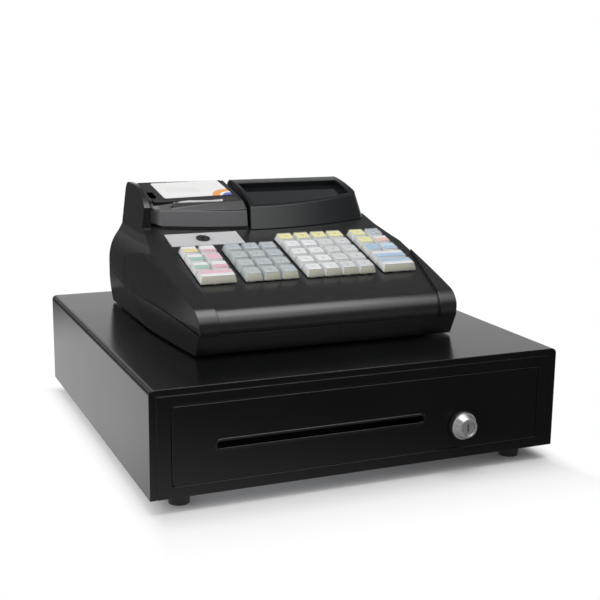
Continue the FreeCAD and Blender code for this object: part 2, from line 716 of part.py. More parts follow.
def front_frame():
    body = new_body()
    outer_x = side_x - s.cab_hem - s.sheet_gap
    outer_top = roof_z - s.cab_hem - s.sheet_gap
    hole_x = door_x + s.door_gap
    hole_low = door_z - s.door_gap
    hole_top = door_top_z + s.door_gap
    pad(body, "Y", front_y, front_y + s.cab_sheet, rectangle((-outer_x, outer_x), (floor_z, outer_top)))
    lip_x = hole_x + s.cab_sheet
    pad(body, "Y", front_y, front_y + s.frame_return,
        rectangle((-lip_x, lip_x), (hole_low - s.cab_sheet, hole_top + s.cab_sheet)))
    pocket(body, "Y", front_y - s.overrun, front_y + s.frame_return + s.overrun,
           rectangle((-hole_x, hole_x), (hole_low, hole_top)))
    round_edges(body, lambda e: runs_along(e, AXIS_Y) and abs(abs(e.BoundBox.XMax) - float(hole_x)) < SMALL,
                s.door_corner)
    keep("front_frame", body)


def rubber_feet():
    body = new_body()
    revolve(body, [(0, s.foot_dimple_depth), (s.foot_dimple / 2, s.foot_dimple_depth),
                   (s.foot_dimple / 2, 0), (s.foot_tip_width / 2, 0),
                   (s.foot_width / 2, s.foot_height), (0, s.foot_height)])
    middle_y = front_y + s.cab_depth / 2
    body.Placement = FreeCAD.Placement(
        Vector(float(side_x - s.foot_inset_x), float(front_y + s.foot_inset_y), 0), FreeCAD.Rotation())
    left = mirror(body)
    keep("rubber_feet", group(body, left, mirror_y(body, middle_y), mirror_y(left, middle_y)))


def cabinet_rails():
    half = s.roller_size / 2 + s.rail_play / 2
    root_x = inner_x
    tip_x = root_x - s.rail_reach
    body = new_body()
    pad(body, "Y", front_y + s.rail_start, back_y - s.rail_back_inset,
        [(tip_x, roller_z - half - s.cab_sheet), (root_x, roller_z - half - s.cab_sheet),
         (root_x, roller_z + half + s.cab_sheet), (tip_x, roller_z + half + s.cab_sheet),
         (tip_x, roller_z + half), (root_x - s.cab_sheet, roller_z + half),
         (root_x - s.cab_sheet, roller_z - half), (tip_x, roller_z - half)])
    shoe = block((root_x - s.cab_sheet, root_x), (front_roller_y - s.roller_size, front_y + s.rail_start),
                 (roller_z - half, roller_z + half))
    pin_start = pan_x + s.pin_head - s.sheet_gap
    pin = rod("X", (pin_start, front_roller_y, roller_z), s.roller_pin, root_x - pin_start)
    collar_start = pan_x + s.pin_head + s.roller_width + s.sheet_gap
    collar = rod("X", (collar_start, front_roller_y, roller_z), s.roller_pin + s.pin_head * 2,
                 root_x - collar_start)
    right = fuse(body, shoe, pin, collar)
    keep("cabinet_rails", group(right, mirror(right)))


def rollers(name, start_x, y, bore):
    """A pair of turned rollers on one line across the cabinet."""
    body = new_body()
    edge = s.roller_size / 2
    bevel = s.pin_head / 2
    revolve(body, [(bore / 2 + s.roller_play, 0), (edge - bevel, 0), (edge, bevel),
                   (edge, s.roller_width - bevel), (edge - bevel, s.roller_width),
                   (bore / 2 + s.roller_play, s.roller_width)])
    body.Placement = FreeCAD.Placement(Vector(float(start_x), float(y), float(roller_z)), TURNS["X"])
    keep(name, group(body, mirror(body)))


# Drawer

def drawer_front():
    body = new_body()
    pad(body, "Y", front_y, front_y + s.door_fold, rectangle((-door_x, door_x), (door_z, door_top_z)))
    round_edges(body, lambda e: runs_along(e, AXIS_Y), s.door_corner)
    wall = s.cab_sheet
    pocket(body, "Y", front_y + wall, front_y + s.door_fold + s.overrun,
           rectangle((-door_x + wall, door_x - wall), (door_z + wall, door_top_z - wall)))
    rim = slot_prism(s.slot_height / 2 + s.slot_rim, front_y - s.slot_rim_rise, front_y)
    panel = fuse(body, rim)
    mouth = slot_prism(s.slot_height / 2, front_y - s.overrun - s.slot_rim_rise, front_y + wall + s.overrun)
    hole = rod("Y", (s.lock_x, front_y - s.overrun, lock_axis_z), s.lock_body_width + s.sheet_gap * 2,
               wall + s.overrun * 2)
    keep("drawer_front", cut(panel, mouth, hole))


def slot_prism(half, low_y, high_y):
    """A long hole with round ends, as a solid across the drawer front."""
    middle_z = door_z + s.slot_middle_z
    reach = s.slot_length / 2 - s.slot_height / 2
    bar = block((s.slot_middle_x - reach, s.slot_middle_x + reach), (low_y, high_y),
                (middle_z - half, middle_z + half))
    ends = [rod("Y", (s.slot_middle_x + side * reach, low_y, middle_z), half * 2, high_y - low_y)
            for side in (-1, 1)]
    return fuse(bar, *ends)


def drawer_pan():
    body = new_body()
    wall = s.cab_sheet
    pad(body, "Z", pan_z, pan_top_z, rectangle((-pan_x, pan_x), (pan_front_y, pan_back_y)))
    pocket(body, "Z", pan_z + wall, pan_top_z + s.overrun,
           rectangle((-pan_x + wall, pan_x - wall), (pan_front_y + wall, pan_back_y - wall)))
    runner_z = roller_z + s.roller_size / 2 + s.roller_lift
    runners = [block((side_low, side_high), (pan_front_y + s.door_fold, pan_back_y),
                     (runner_z, runner_z + wall))
               for side_low, side_high in ((pan_x, pan_x + s.runner_width),
                                            (-pan_x - s.runner_width, -pan_x))]
    stud_end = inner_x - s.rail_reach + s.overrun + s.roller_width + s.pin_head
    stud = rod("X", (pan_x, back_roller_y, roller_z), s.roller_pin, stud_end - pan_x)
    shoulder = rod("X", (pan_x, back_roller_y, roller_z), s.roller_pin + s.pin_head * 2,
                   inner_x - s.rail_reach + s.overrun - s.sheet_gap - pan_x)
    right_stud = fuse(stud, shoulder)
    strike_z = pan_z + s.strike_lift
    strike = [block((s.latch_x - s.strike_width / 2, s.latch_x + s.strike_width / 2),
                    (pan_back_y, pan_back_y + s.strike_reach), (strike_z, strike_z + wall)),
              block((s.latch_x - s.strike_width / 2, s.latch_x + s.strike_width / 2),
                    (pan_back_y + s.strike_reach - wall, pan_back_y + s.strike_reach),
                    (strike_z, strike_z + s.strike_height))]
    shell = fuse(body, *runners, right_stud, mirror(right_stud), *strike)
    mouth = slot_prism(s.slot_height / 2 + s.slot_rim,
                       pan_front_y - s.overrun, pan_front_y + wall + s.overrun)
    hole = rod("Y", (s.lock_x, pan_front_y - s.overrun, lock_axis_z), s.lock_body_width + s.sheet_gap * 2,
               wall + s.overrun * 2)
    keep("drawer_pan", cut(shell, mouth, hole))


def lock_place(item, y):
    """Lay a turned piece on the lock's axis, its own +Z towards the front."""
    item.Placement = FreeCAD.Placement(Vector(float(s.lock_x), float(y), float(lock_axis_z)),
                                       FreeCAD.Rotation(AXIS_X, 90))


def lock_barrel():
    body = new_body()
    bore = s.lock_plug_width / 2 + s.sheet_gap / 2
    rear = -s.lock_body_depth
    collar = s.lock_collar_depth
    face = collar + s.lock_bezel_depth
    revolve(body, [(bore, rear), (s.lock_body_width / 2, rear), (s.lock_body_width / 2, 0),
                   (s.lock_collar_width / 2, 0), (s.lock_collar_width / 2, collar - s.overrun),
                   (s.lock_collar_width / 2 - s.overrun, collar), (s.lock_bezel_width / 2, collar),
                   (s.lock_bezel_width / 2, collar + s.overrun),
                   (s.lock_face_width / 2, face), (bore, face)])
    lock_place(body, front_y)
    keep("lock_barrel", body)


def lock_plug():
    body = new_body()
    face = lock_out - s.lock_plug_sink
    rear = -s.lock_body_depth - s.sheet_gap
    pad(body, "Z", rear, face, circle=((0, 0), s.lock_plug_width))
    tail = s.lock_shank_width / 2
    pad(body, "Z", rear - s.lock_cam_sheet * 2, rear, rectangle((-tail, tail), (-tail, tail)))
    slot = s.lock_keyway_width / 2
    pocket(body, "Z", face - s.lock_keyway_depth, face + s.overrun,
           rectangle((-slot, slot), (-s.lock_keyway_height / 2, s.lock_keyway_height / 2)))
    round_edges(body, lambda e: (e.Curve.TypeId == "Part::GeomCircle"
                                 and e.BoundBox.ZMin > float(face) - SMALL),
                s.lock_plug_sink, "Chamfer")
    lock_place(body, front_y)
    keep("lock_plug", body)


def lock_cam():
    body = new_body()
    rear = -s.lock_body_depth - s.sheet_gap
    half = s.lock_cam_width / 2
    tip = s.lock_cam_width / 4
    pad(body, "Z", rear - s.lock_cam_sheet, rear,
        [(-half, -half), (half, -half), (s.lock_cam_length, -tip), (s.lock_cam_length, tip),
         (half, half), (-half, half)])
    tail = s.lock_shank_width / 2
    pocket(body, "Z", rear - s.lock_cam_sheet - s.overrun, rear + s.overrun,
           rectangle((-tail, tail), (-tail, tail)))
    lock_place(body, front_y)
    keep("lock_cam", body)


tray_front_y = pan_front_y + s.cab_sheet + s.tray_front_room
tray_back_y = pan_back_y - s.cab_sheet - s.tray_gap
tray_x = pan_x - s.cab_sheet - s.tray_gap
tray_z = pan_z + s.cab_sheet + s.tray_leg
tray_top_z = tray_z + s.tray_height
rod_y = tray_back_y - s.clip_rod_back
rod_z = tray_top_z - s.clip_rod_drop


def cash_tray():
    body = new_body()
    wall = s.tray_wall
    pad(body, "Z", tray_z, tray_top_z, rectangle((-tray_x, tray_x), (tray_front_y, tray_back_y)))
    note_front_y = tray_back_y - wall - s.note_length
    bays = int(float(s.note_bays))
    bay_width = (tray_x * 2 - wall * (bays + 1)) / bays
    for i in range(bays):
        low = -tray_x + wall + (bay_width + wall) * i
        pocket(body, "Z", tray_z + wall, tray_top_z + s.overrun,
               rectangle((low, low + bay_width), (note_front_y, tray_back_y - wall)))
    cups = int(float(s.coin_cups))
    cup_width = (tray_x * 2 - wall * (cups + 1)) / cups
    cup_back_y = note_front_y - wall
    cup_front_y = tray_front_y + wall
    middle_y = (cup_back_y + cup_front_y) / 2
    scoops = []
    for i in range(cups):
        low = -tray_x + wall + (cup_width + wall) * i
        well = block((low, low + cup_width), (cup_front_y, cup_back_y),
                     (tray_z + s.coin_floor, tray_top_z + s.overrun))
        drum = rod("X", (low, middle_y, tray_z + s.coin_floor + s.coin_scoop), s.coin_scoop * 2, cup_width)
        scoops.append(common(well, drum))
    legs = [block((side_low, side_low + s.tray_leg), (tray_front_y, tray_back_y),
                  (tray_z - s.tray_leg, tray_z))
            for side_low in (-tray_x, tray_x - s.tray_leg)]
    axle = rod("X", (-tray_x + wall / 2, rod_y, rod_z), s.clip_rod, tray_x * 2 - wall)
    keep("cash_tray", fuse(cut(body, *scoops), *legs, axle))


def note_clip(number):
    """A sprung arm that swings on the tray's rod and holds the notes down."""
    bays = int(float(s.note_bays))
    pitch = (tray_x * 2 - s.tray_wall) / bays
    middle = -tray_x + s.tray_wall / 2 + pitch * (number - 0.5)
    half = s.clip_width / 2
    body = new_body()
    arm = s.clip_sheet
    tip_y = -s.clip_reach
    tip_z = -s.clip_drop
    heel_y = tip_y + s.clip_hub * 2
    pad(body, "X", -half, half,
        [(0, s.clip_hub / 2), (0, s.clip_hub / 2 - arm), (heel_y, tip_z), (tip_y, tip_z + s.clip_hub),
         (tip_y, tip_z + s.clip_hub + arm), (heel_y, tip_z + arm)])
    hub = rod("X", (-half, 0, 0), s.clip_hub, s.clip_width)
    bore = rod("X", (-half - s.overrun, 0, 0), s.clip_rod + s.clip_play * 2, s.clip_width + s.overrun * 2)
    clip = cut(fuse(body, hub), bore)
    clip.Placement = FreeCAD.Placement(Vector(float(middle), float(rod_y), float(rod_z)), FreeCAD.Rotation())
    keep(f"note_clip_{number}", clip)


# Latch

hook_y = inner_back_y - s.hook_pivot_back
hook_z = floor_z + s.hook_pivot_z
eject_z = floor_z + s.eject_z


def latch_hook():
    body = new_body()
    half = s.hook_arm / 2
    pad(body, "X", -s.hook_sheet / 2, s.hook_sheet / 2,
        [(0, -half), (0, half), (-s.hook_reach, half), (-s.hook_reach, -s.hook_nose_drop),
         (-s.hook_reach + s.hook_nose, -s.hook_nose_drop), (-s.hook_reach + s.hook_nose, -half)])
    hub_half = s.ear_half - s.sheet_gap
    hub = rod("X", (-hub_half, 0, 0), s.hook_hub, hub_half * 2)
    bore = rod("X", (-hub_half - s.overrun, 0, 0), s.hook_pin + s.hook_play * 2, (hub_half + s.overrun) * 2)
    hook = cut(fuse(body, hub), bore)
    hook.Placement = FreeCAD.Placement(Vector(float(s.latch_x), float(hook_y), float(hook_z)),
                                       FreeCAD.Rotation())
    keep("latch_hook", hook)


coil_z = hook_z + s.coil_lift
plunger_y = inner_back_y - s.plunger_back


def solenoid():
    frame = block((s.latch_x - s.coil_width / 2, s.latch_x + s.coil_width / 2),
                  (inner_back_y - s.coil_depth, inner_back_y), (coil_z, coil_z + s.coil_length))
    bore = rod("Z", (s.latch_x, plunger_y, coil_z - s.overrun), s.plunger_size + s.plunger_play * 2,
               s.coil_length - s.plunger_room + s.overrun)
    keep("solenoid", cut(frame, bore))


def solenoid_plunger():
    tip_z = hook_z + s.hook_arm / 2 + s.sheet_gap
    tip = rod("Z", (s.latch_x, plunger_y, tip_z), s.plunger_tip, coil_z - tip_z)
    core_start = coil_z - s.plunger_tip
    core = rod("Z", (s.latch_x, plunger_y, core_start), s.plunger_size,
               s.coil_length - s.plunger_room * 2 + s.plunger_tip)
    keep("solenoid_plunger", fuse(tip, core))


def eject_spring():
    outer = s.eject_coil + s.eject_wire
    start_y = pan_back_y + s.sheet_gap
    length = inner_back_y - start_y
    tube = rod("Y", (s.eject_x, start_y, eject_z), outer, length)
    bore = rod("Y", (s.eject_x, start_y - s.overrun, eject_z), s.eject_coil - s.eject_wire,
               length + s.overrun * 2)
    keep("eject_spring", cut(tube, bore))


# Register: its own places are y behind the nose and z above the cabinet's top

def at(y, z):
    """A place in the middle plane."""
    return reg_y + y, roof_z + z


def mirrored(points):
    """The left half of an outline from its right half, drawn backwards."""
    return [(-size_of(p[0]),) + p[1:] for p in reversed(points)]


def deck_height(y):
    """Height of the deck's plane at a place behind the nose."""
    start_y = s.nose_radius - s.nose_radius * slope_sin
    start_z = s.nose_z + s.nose_radius * slope_cos
    return start_z + (y - start_y) * slope_tan


def nose_point(angle, inset):
    """A place on the roll in front of the deck, at an angle above the level."""
    radius = s.nose_radius - inset
    angle = size_of(angle)
    return at(s.nose_radius - radius * slope_of(angle, "cos"), s.nose_z + radius * slope_of(angle, "sin"))


def tilt(item, y, z, angle, x=0, along=0):
    """Lay a piece drawn flat at the origin on a slope that rises from a place of the register."""
    if item.TypeId in ("Part::Box", "Part::Cylinder"):
        item = group(item)
    base_y, base_z = at(y, z)
    base = (size_of(x), base_y + along * slope_of(angle, "cos"), base_z + along * slope_of(angle, "sin"))
    item.Placement = FreeCAD.Placement(Vector(*[float(v) for v in base]),
                                       FreeCAD.Rotation(AXIS_X, float(angle)))
    for name, value in zip("xyz", base):
        item.setExpression(f"Placement.Base.{name}", value.text)
    item.setExpression("Placement.Rotation.Angle", angle.text)
    return item


def on_deck(item, x=0, along=0):
    return tilt(item, s.deck_zero_y, deck_height(s.deck_zero_y), s.deck_slope, x, along)


def across(outline):
    """Push an outline of the middle plane out to both sides, past the flanks."""
    return prism("X", -side_x, side_x, outline)


CORNER_SHARE = 1 - math.sqrt(0.5)
under_z = deck_height(s.tower_y) - s.case_wall * 2
deck_end_z = deck_height(s.deck_end_y)
far_y = s.reg_depth + s.overrun


def parting_line(lift):
    """The line between the two shells, from the back to the nose."""
    return [at(s.reg_depth, s.parting_back_z + lift), via(*at(s.parting_far_y, s.parting_far_z + lift)),
            at(s.parting_mid_y, s.parting_mid_z + lift), via(*at(s.parting_near_y, s.parting_near_z + lift)),
            at(0, s.parting_front_z + lift)]


def side_of_parting(lift, level):
    """Everything between the parting line and a level above or below it."""
    ahead = -s.nose_radius
    return across([at(far_y, level), at(far_y, s.parting_back_z + lift)] + parting_line(lift)
                  + [at(ahead, s.parting_front_z + lift), at(ahead, level)])


def front_form(inset):
    """The register's front view, run from nose to back."""
    foot = s.case_foot_half - inset
    right = [(foot, roof_z), (foot, roof_z + s.pad_height),
             via(s.case_low_mid_half - inset, roof_z + s.case_low_mid_z),
             (s.case_waist_half - inset, roof_z + s.case_waist_z),
             via(s.case_round_half - inset, roof_z + s.case_round_z),
             (s.case_shoulder_half - inset, roof_z + s.case_shoulder_z),
             (s.tower_foot_half - inset, roof_z + s.tower_foot_z),
             (s.tower_top_half - inset, roof_z + s.cheek_far_z + s.overrun)]
    return prism("Y", reg_y - s.nose_radius, reg_y + far_y, right + mirrored(right))


def flank_outline(inset, lean, draft, tuck):
    """The register from above: shallow bows between small front and larger back corners."""
    front = s.flank_front_half - inset - draft - tuck
    middle = s.flank_mid_half - inset - draft - lean - tuck / 2
    rear = s.case_waist_half + s.sheet_gap - inset - draft
    low = reg_y + inset - s.ridge_rise
    high = reg_y + s.reg_depth - inset
    near = s.front_corner
    far = s.back_corner
    right = [(front - near, low), via(front - near * CORNER_SHARE, low + near * CORNER_SHARE),
             (front, low + near), via(middle, reg_y + s.flank_mid_y), (rear, high - far),
             via(rear - far * CORNER_SHARE, high - far * CORNER_SHARE), (rear - far, high)]
    return right + mirrored(right)


def plan_form(inset, tuck=0):
    """The register seen from above, its flanks leaning in over their widest level and drawn in below."""
    below = s.flank_level + s.case_wall
    above = s.cheek_far_z - s.flank_level
    low_z = roof_z - s.case_wall
    high_z = roof_z + s.cheek_far_z
    leaning = ruled("Z", low_z, high_z, flank_outline(inset, -below * s.flank_lean, size_of(0), tuck),
                    flank_outline(inset, above * s.flank_lean, size_of(0), tuck))
    drafted = ruled("Z", low_z, high_z, flank_outline(inset, size_of(0), below * s.flank_draft, tuck),
                    flank_outline(inset, size_of(0), -above * s.flank_draft, tuck))
    return common(leaning, drafted)


def leaf_form():
    """What is taken off both flanks for the sunk panel that fades towards the back."""
    crest = QUARTER_TURN - s.deck_slope
    near_z = deck_height(s.leaf_near_y) - s.leaf_edge
    side_view = across([at(s.leaf_edge, s.pad_height), nose_point(0, s.leaf_edge),
                        via(*nose_point(crest / 2, s.leaf_edge)), nose_point(crest, s.leaf_edge),
                        at(s.leaf_near_y, near_z), via(*at(s.leaf_mid_y, s.leaf_mid_z)),
                        at(s.leaf_far_y, s.leaf_far_z), at(s.leaf_far_y, s.pad_height)])
    return cut(side_view, common(front_form(0), plan_form(0, s.leaf_depth)))


def deck_form(inset):
    """Nose, deck and the level behind it, down to below the parting line."""
    crest = QUARTER_TURN - s.deck_slope
    corner_y = s.deck_end_y + inset * (1 - slope_cos) / slope_sin
    return across([nose_point(0, inset), via(*nose_point(crest / 2, inset)), nose_point(crest, inset),
                   at(corner_y, deck_end_z - inset), at(far_y, deck_end_z - inset),
                   at(far_y, s.pad_height), at(inset, s.pad_height)])


def tub_form(inset):
    """The lower shell's side view, with its raked chin."""
    floor = s.pad_height + inset
    return across([at(inset, s.parting_front_z), at(s.chin_back + inset, floor), at(far_y, floor),
                   at(far_y, s.tower_foot_z), at(inset, s.tower_foot_z)])


def ridge_form():
    """The raised bands beside the keyboard, over the nose and down to the parting line."""
    rise = s.ridge_rise
    crest = QUARTER_TURN - s.deck_slope
    side_view = across([nose_point(0, -rise), via(*nose_point(crest / 2, -rise)), nose_point(crest, -rise),
                        at(s.ridge_end_y, deck_height(s.ridge_end_y) + rise),
                        at(s.ridge_end_y, s.pad_height), at(-rise, s.pad_height)])
    ahead = reg_y - rise * 2
    end_y = reg_y + s.ridge_end_y + s.overrun

    def band(side, mid_half, mid_y, end_half):
        return prism("Z", roof_z, roof_z + s.cheek_far_z,
                     [(side * s.ridge_front_half, ahead), (side * side_x, ahead), (side * side_x, end_y),
                      (side * end_half, end_y), (side * mid_half, reg_y + mid_y)])

    left = band(-1, s.ridge_left_mid_half, s.ridge_left_mid_y, s.ridge_left_end_half)
    right = band(1, s.ridge_right_mid_half, s.ridge_right_mid_y, s.ridge_right_end_half)
    return common(side_view, group(left, right))


def roof_rise():
    return (s.tower_back_z - s.tower_slot_z) / (s.reg_depth - s.back_corner - s.tower_slot_y)


def roof_height(y):
    """Height of the tower's top at a place behind the nose."""
    return s.tower_slot_z + (y - s.tower_slot_y) * roof_rise()


def block_outline(front_y, margin):
    """The printer's block from above: bowed face, turned left end, groove and the rest."""
    def bowed(x):
        return x, reg_y + front_y - margin + size_of(x) * x / (s.tower_bow * 2)

    right = s.hood_left - s.sheet_gap + margin
    end_y = reg_y + s.deck_end_y - margin
    return [bowed(right), via(*bowed((right - s.facet_half) / 2)), bowed(-s.facet_half),
            (-s.facet_end_half - margin, end_y), (-s.case_foot_half, end_y),
            (-s.case_foot_half, reg_y + far_y), (right, reg_y + far_y)]


def face_y(z):
    """How far back the tower's leaning face is at a height."""
    foot_z = deck_height(s.tower_y)
    return s.tower_y + (z - foot_z) * s.tower_lean / (s.tower_shoulder_z - foot_z)


def tower_front(margin):
    """The block's leaning face and the brow above it."""
    top = s.cheek_far_z
    shoulder_y = face_y(s.tower_shoulder_z)
    brow = s.tower_brow * (top - s.tower_shoulder_z) / (s.tower_slot_z - s.tower_shoulder_z)
    low = under_z + margin
    lower = ruled("Z", roof_z + low, roof_z + s.tower_shoulder_z,
                  block_outline(face_y(low), margin), block_outline(shoulder_y, margin))
    upper = ruled("Z", roof_z + s.tower_shoulder_z, roof_z + top,
                  block_outline(shoulder_y, margin), block_outline(shoulder_y + brow, margin))
    return fuse(lower, upper)


def rear_rounding(y, z):
    """The rounded upper edge at the back, from above it to behind it."""
    back = s.back_corner
    return [at(y - back, z), via(*at(y - back * CORNER_SHARE, z - back * CORNER_SHARE)), at(y, z - back)]


def tower_form(inset):
    start_y = s.tower_y - s.overrun
    back = s.reg_depth - inset
    side_view = across([at(start_y, under_z - inset), at(start_y, roof_height(start_y) - inset)]
                       + rear_rounding(back, s.tower_back_z - inset) + [at(back, under_z - inset)])
    return common(side_view, tower_front(-inset), front_form(inset))


def cheek_form():
    """The fin left of the printer, with its curved front edge."""
    side_view = prism("X", -s.case_foot_half, -s.tower_top_half + s.cheek_width,
                      [at(s.cheek_y, under_z), at(s.cheek_y, s.cheek_knee_z),
                       via(*at(s.cheek_mid_y, s.cheek_mid_z)), at(s.cheek_far_y, s.cheek_far_z)]
                      + rear_rounding(s.reg_depth, s.cheek_far_z) + [at(s.reg_depth, under_z)])
    return common(side_view, front_form(0))


bosses = [(side * s.boss_x, y) for side in (-1, 1) for y in (s.boss_front_y, s.boss_back_y)]


def parting_height(y):
    """Height of the parting line, taken straight between its marks."""
    marks = [(size_of(0), s.parting_front_z), (s.parting_near_y, s.parting_near_z),
             (s.parting_mid_y, s.parting_mid_z), (s.parting_far_y, s.parting_far_z),
             (s.reg_depth, s.parting_back_z)]
    for (y0, z0), (y1, z1) in zip(marks, marks[1:]):
        if float(y) <= float(y1):
            return z0 + (y - y0) * (z1 - z0) / (y1 - y0)


def boss_top(x, y):
    """Where an upper boss ends in the wall over it."""
    if float(y) < float(s.deck_end_y):
        return deck_height(y - s.screw_head) - s.case_wall / 2
    if float(x) < 0:
        return roof_height(y - s.screw_head) - s.case_wall / 2
    return deck_end_z - s.case_wall / 2


def post(x, y, low, high, diameter):
    return rod("Z", (x, reg_y + y, roof_z + low), diameter, high - low)


# The keyboard: how many columns each block has, and the blocks without a top row
BLOCK_COLUMNS = [2, 3, 4, 2]
ROWS = 5
SHORT_BLOCKS = (0, 1)


def column_x(block_number, column):
    before = sum(BLOCK_COLUMNS[:block_number]) + column
    return s.first_key_x + s.key_pitch * before + s.block_gap * block_number


def row_along(row):
    return s.first_row_along - s.key_pitch * row


def block_openings():
    """One opening in the deck for each block of keys."""
    margin = s.key_base / 2 + s.key_opening_gap
    openings = []
    for number, columns in enumerate(BLOCK_COLUMNS):
        first = 1 if number in SHORT_BLOCKS else 0
        openings.append(block((column_x(number, 0) - margin, column_x(number, columns - 1) + margin),
                              (row_along(ROWS - 1) - margin, row_along(first) + margin),
                              (-s.case_wall * 2, s.case_wall)))
    return on_deck(group(*openings))


bay_back_y = s.reg_depth - s.bay_back_wall
bay_left = s.bay_side - s.tower_top_half
bay_middle = (bay_left + s.bay_right) / 2
hinge_y = bay_back_y - s.cover_gap * 2 - s.cover_hinge_size / 2
hinge_z = roof_height(hinge_y) - s.cover_hinge_size * s.cover_hinge_share
slot_start_y = s.tower_slot_y + s.bar_sheet


def top_case():
    wall = s.case_wall
    body = common(deck_form(0), front_form(0), plan_form(0))
    ridges = common(ridge_form(), front_form(0), plan_form(0))
    outer = cut(fuse(body, ridges, tower_form(0), cheek_form()), leaf_form())
    inner = fuse(common(deck_form(wall), front_form(wall), plan_form(wall)), tower_form(wall))
    shell = common(cut(outer, inner), side_of_parting(s.parting_gap, s.cheek_far_z + wall))
    bay = block((bay_left, s.bay_right), (reg_y + s.cover_start_y - s.cover_gap, reg_y + bay_back_y),
                (roof_z + under_z, roof_z + s.cheek_far_z))
    half = s.slot_paper_width / 2 + s.overrun
    slot = block((bay_middle - half, bay_middle + half),
                 (reg_y + slot_start_y, reg_y + slot_start_y + s.slot_paper_gap),
                 (roof_z + s.tower_slot_z - wall * 4, roof_z + s.tower_slot_z + wall * 4))
    opened = cut(shell, block_openings(), bay, slot)
    tube = s.mode_size + s.mode_play * 2
    socket = on_deck(rod("Z", (0, 0, -s.mode_body), tube + s.mode_socket_wall * 2, s.mode_body - wall / 2),
                     s.mode_x, s.mode_along)
    bore = on_deck(rod("Z", (0, 0, -s.mode_body - s.overrun), tube, s.mode_body + s.overrun * 2),
                   s.mode_x, s.mode_along)
    pins = [rod("X", (x, reg_y + hinge_y, roof_z + hinge_z), s.cover_hinge_pin, s.cover_skirt + s.overrun)
            for x in (bay_left - s.overrun, s.bay_right - s.cover_skirt)]
    posts = [post(x, y, parting_height(y) + s.parting_gap, boss_top(x, y), s.screw_head + wall)
             for x, y in bosses]
    holes = [post(x, y, parting_height(y) - s.overrun, parting_height(y) + s.screw_length * 2,
                  s.screw_shank + s.sheet_gap) for x, y in bosses]
    keep("top_case", cut(fuse(opened, socket, *pins, *posts), bore, *holes))


def base_case():
    wall = s.case_wall
    outer = common(tub_form(0), front_form(0), plan_form(0), side_of_parting(0, -wall))
    inner = common(tub_form(wall), front_form(wall), plan_form(wall))
    floor = s.pad_height
    posts = [post(x, y, floor, parting_height(y), s.screw_head + wall * 2) for x, y in bosses]
    heads = [post(x, y, floor - s.overrun, floor + s.screw_head_rise, s.screw_head + s.sheet_gap * 2)
             for x, y in bosses]
    holes = [post(x, y, floor, s.reg_depth / 2, s.screw_shank + s.sheet_gap) for x, y in bosses]
    keep("base_case", cut(fuse(cut(outer, inner), *posts), *heads, *holes))


def case_screws():
    neck_z = s.pad_height + s.screw_head_rise
    screws = [fuse(post(x, y, s.pad_height + s.sheet_gap, neck_z, s.screw_head),
                   post(x, y, neck_z, parting_height(y) + s.screw_length, s.screw_shank))
              for x, y in bosses]
    keep("case_screws", group(*screws))


def register_feet():
    places = [(side * (s.case_foot_half - s.pad_inset_x), y) for side in (-1, 1)
              for y in (s.chin_back + s.pad_inset_y, s.reg_depth - s.pad_inset_y)]
    keep("register_feet", group(*[post(x, y, size_of(0), s.pad_height, s.pad_size) for x, y in places]))


# Display

def hood_side(inset):
    """The hood's side view over the deck; the inner one runs on through the deck."""
    lift = s.hood_foot_gap if float(inset) == 0 else -s.case_wall
    start_y = s.hood_front_y - s.overrun + inset
    back = s.reg_depth - inset
    roof = s.hood_far_z - inset
    return across([at(start_y, deck_height(start_y) + lift), at(start_y, s.hood_ledge_z - inset),
                   at(s.hood_ledge_y + inset, s.hood_ledge_z - inset),
                    via(*at(s.hood_mid_y, s.hood_mid_z - inset))]
                  + rear_rounding(back, roof)
                  + [at(back, deck_end_z + lift), at(s.deck_end_y, deck_end_z + lift)])


def hood_front(inset):
    """All that lies behind the hood's bowed and leaning face, round its right corner."""
    low = deck_height(s.hood_front_y) - s.case_wall * 2
    high = s.hood_far_z + s.case_wall
    foot_z = deck_height(s.hood_front_y)
    slant = (s.hood_ledge_y - s.hood_front_y) / (s.hood_ledge_z - foot_z)
    turn = s.hood_corner

    def bowed(z):
        near = reg_y + s.hood_front_y + inset + (z - foot_z) * slant
        right = s.hood_right - inset - s.hood_right_lean * (z - low) / (high - low)
        bend = right - turn

        def face(x):
            return near + size_of(x) * x / (s.tower_bow * 2)

        return [(right, face(right) + turn),
                via(right - turn * CORNER_SHARE, face(bend) + turn * CORNER_SHARE), (bend, face(bend)),
                via(size_of(0), near), (-side_x, face(side_x)), (-side_x, reg_y + far_y * 2),
                (right, reg_y + far_y * 2)]

    return ruled("Z", roof_z + low, roof_z + high, bowed(low), bowed(high))


def hood_form(inset):
    low = deck_height(s.hood_front_y) - s.case_wall * 2
    high = s.hood_far_z + s.case_wall
    walls = prism("Y", reg_y + s.hood_front_y - s.tower_brow, reg_y + far_y,
                  [(s.hood_left + inset, roof_z + low), (side_x, roof_z + low), (side_x, roof_z + high),
                   (s.hood_left + s.hood_left_lean + inset, roof_z + high)])
    return common(hood_side(inset), walls, hood_front(inset))


def in_window(item):
    return tilt(item, s.window_start_y, s.window_start_z, s.window_slope)


def window_block(margin, low, high):
    """A box square to the window, larger than it by a margin all round, its front bowed like the hood's."""
    box = in_window(block((s.window_left - margin, s.window_right + margin),
                          (-s.window_ledge, s.window_depth + margin), (low, high)))
    return common(box, hood_front(s.window_ledge - margin))


def display_hood():
    wall = s.hood_wall
    outer = hood_form(0)
    seat = s.window_wall + s.window_gap
    bezel = common(window_block(wall, -seat - wall, s.hood_far_z), outer)
    shell = fuse(cut(outer, hood_form(wall)), bezel)
    keep("display_hood", cut(shell, window_block(size_of(0), -seat, s.hood_far_z),
                             window_block(-wall * 2, -seat - wall * 2, size_of(0))))


def display_window():
    keep("display_window", window_block(-s.window_gap, -s.window_wall, size_of(0)))


# Printer

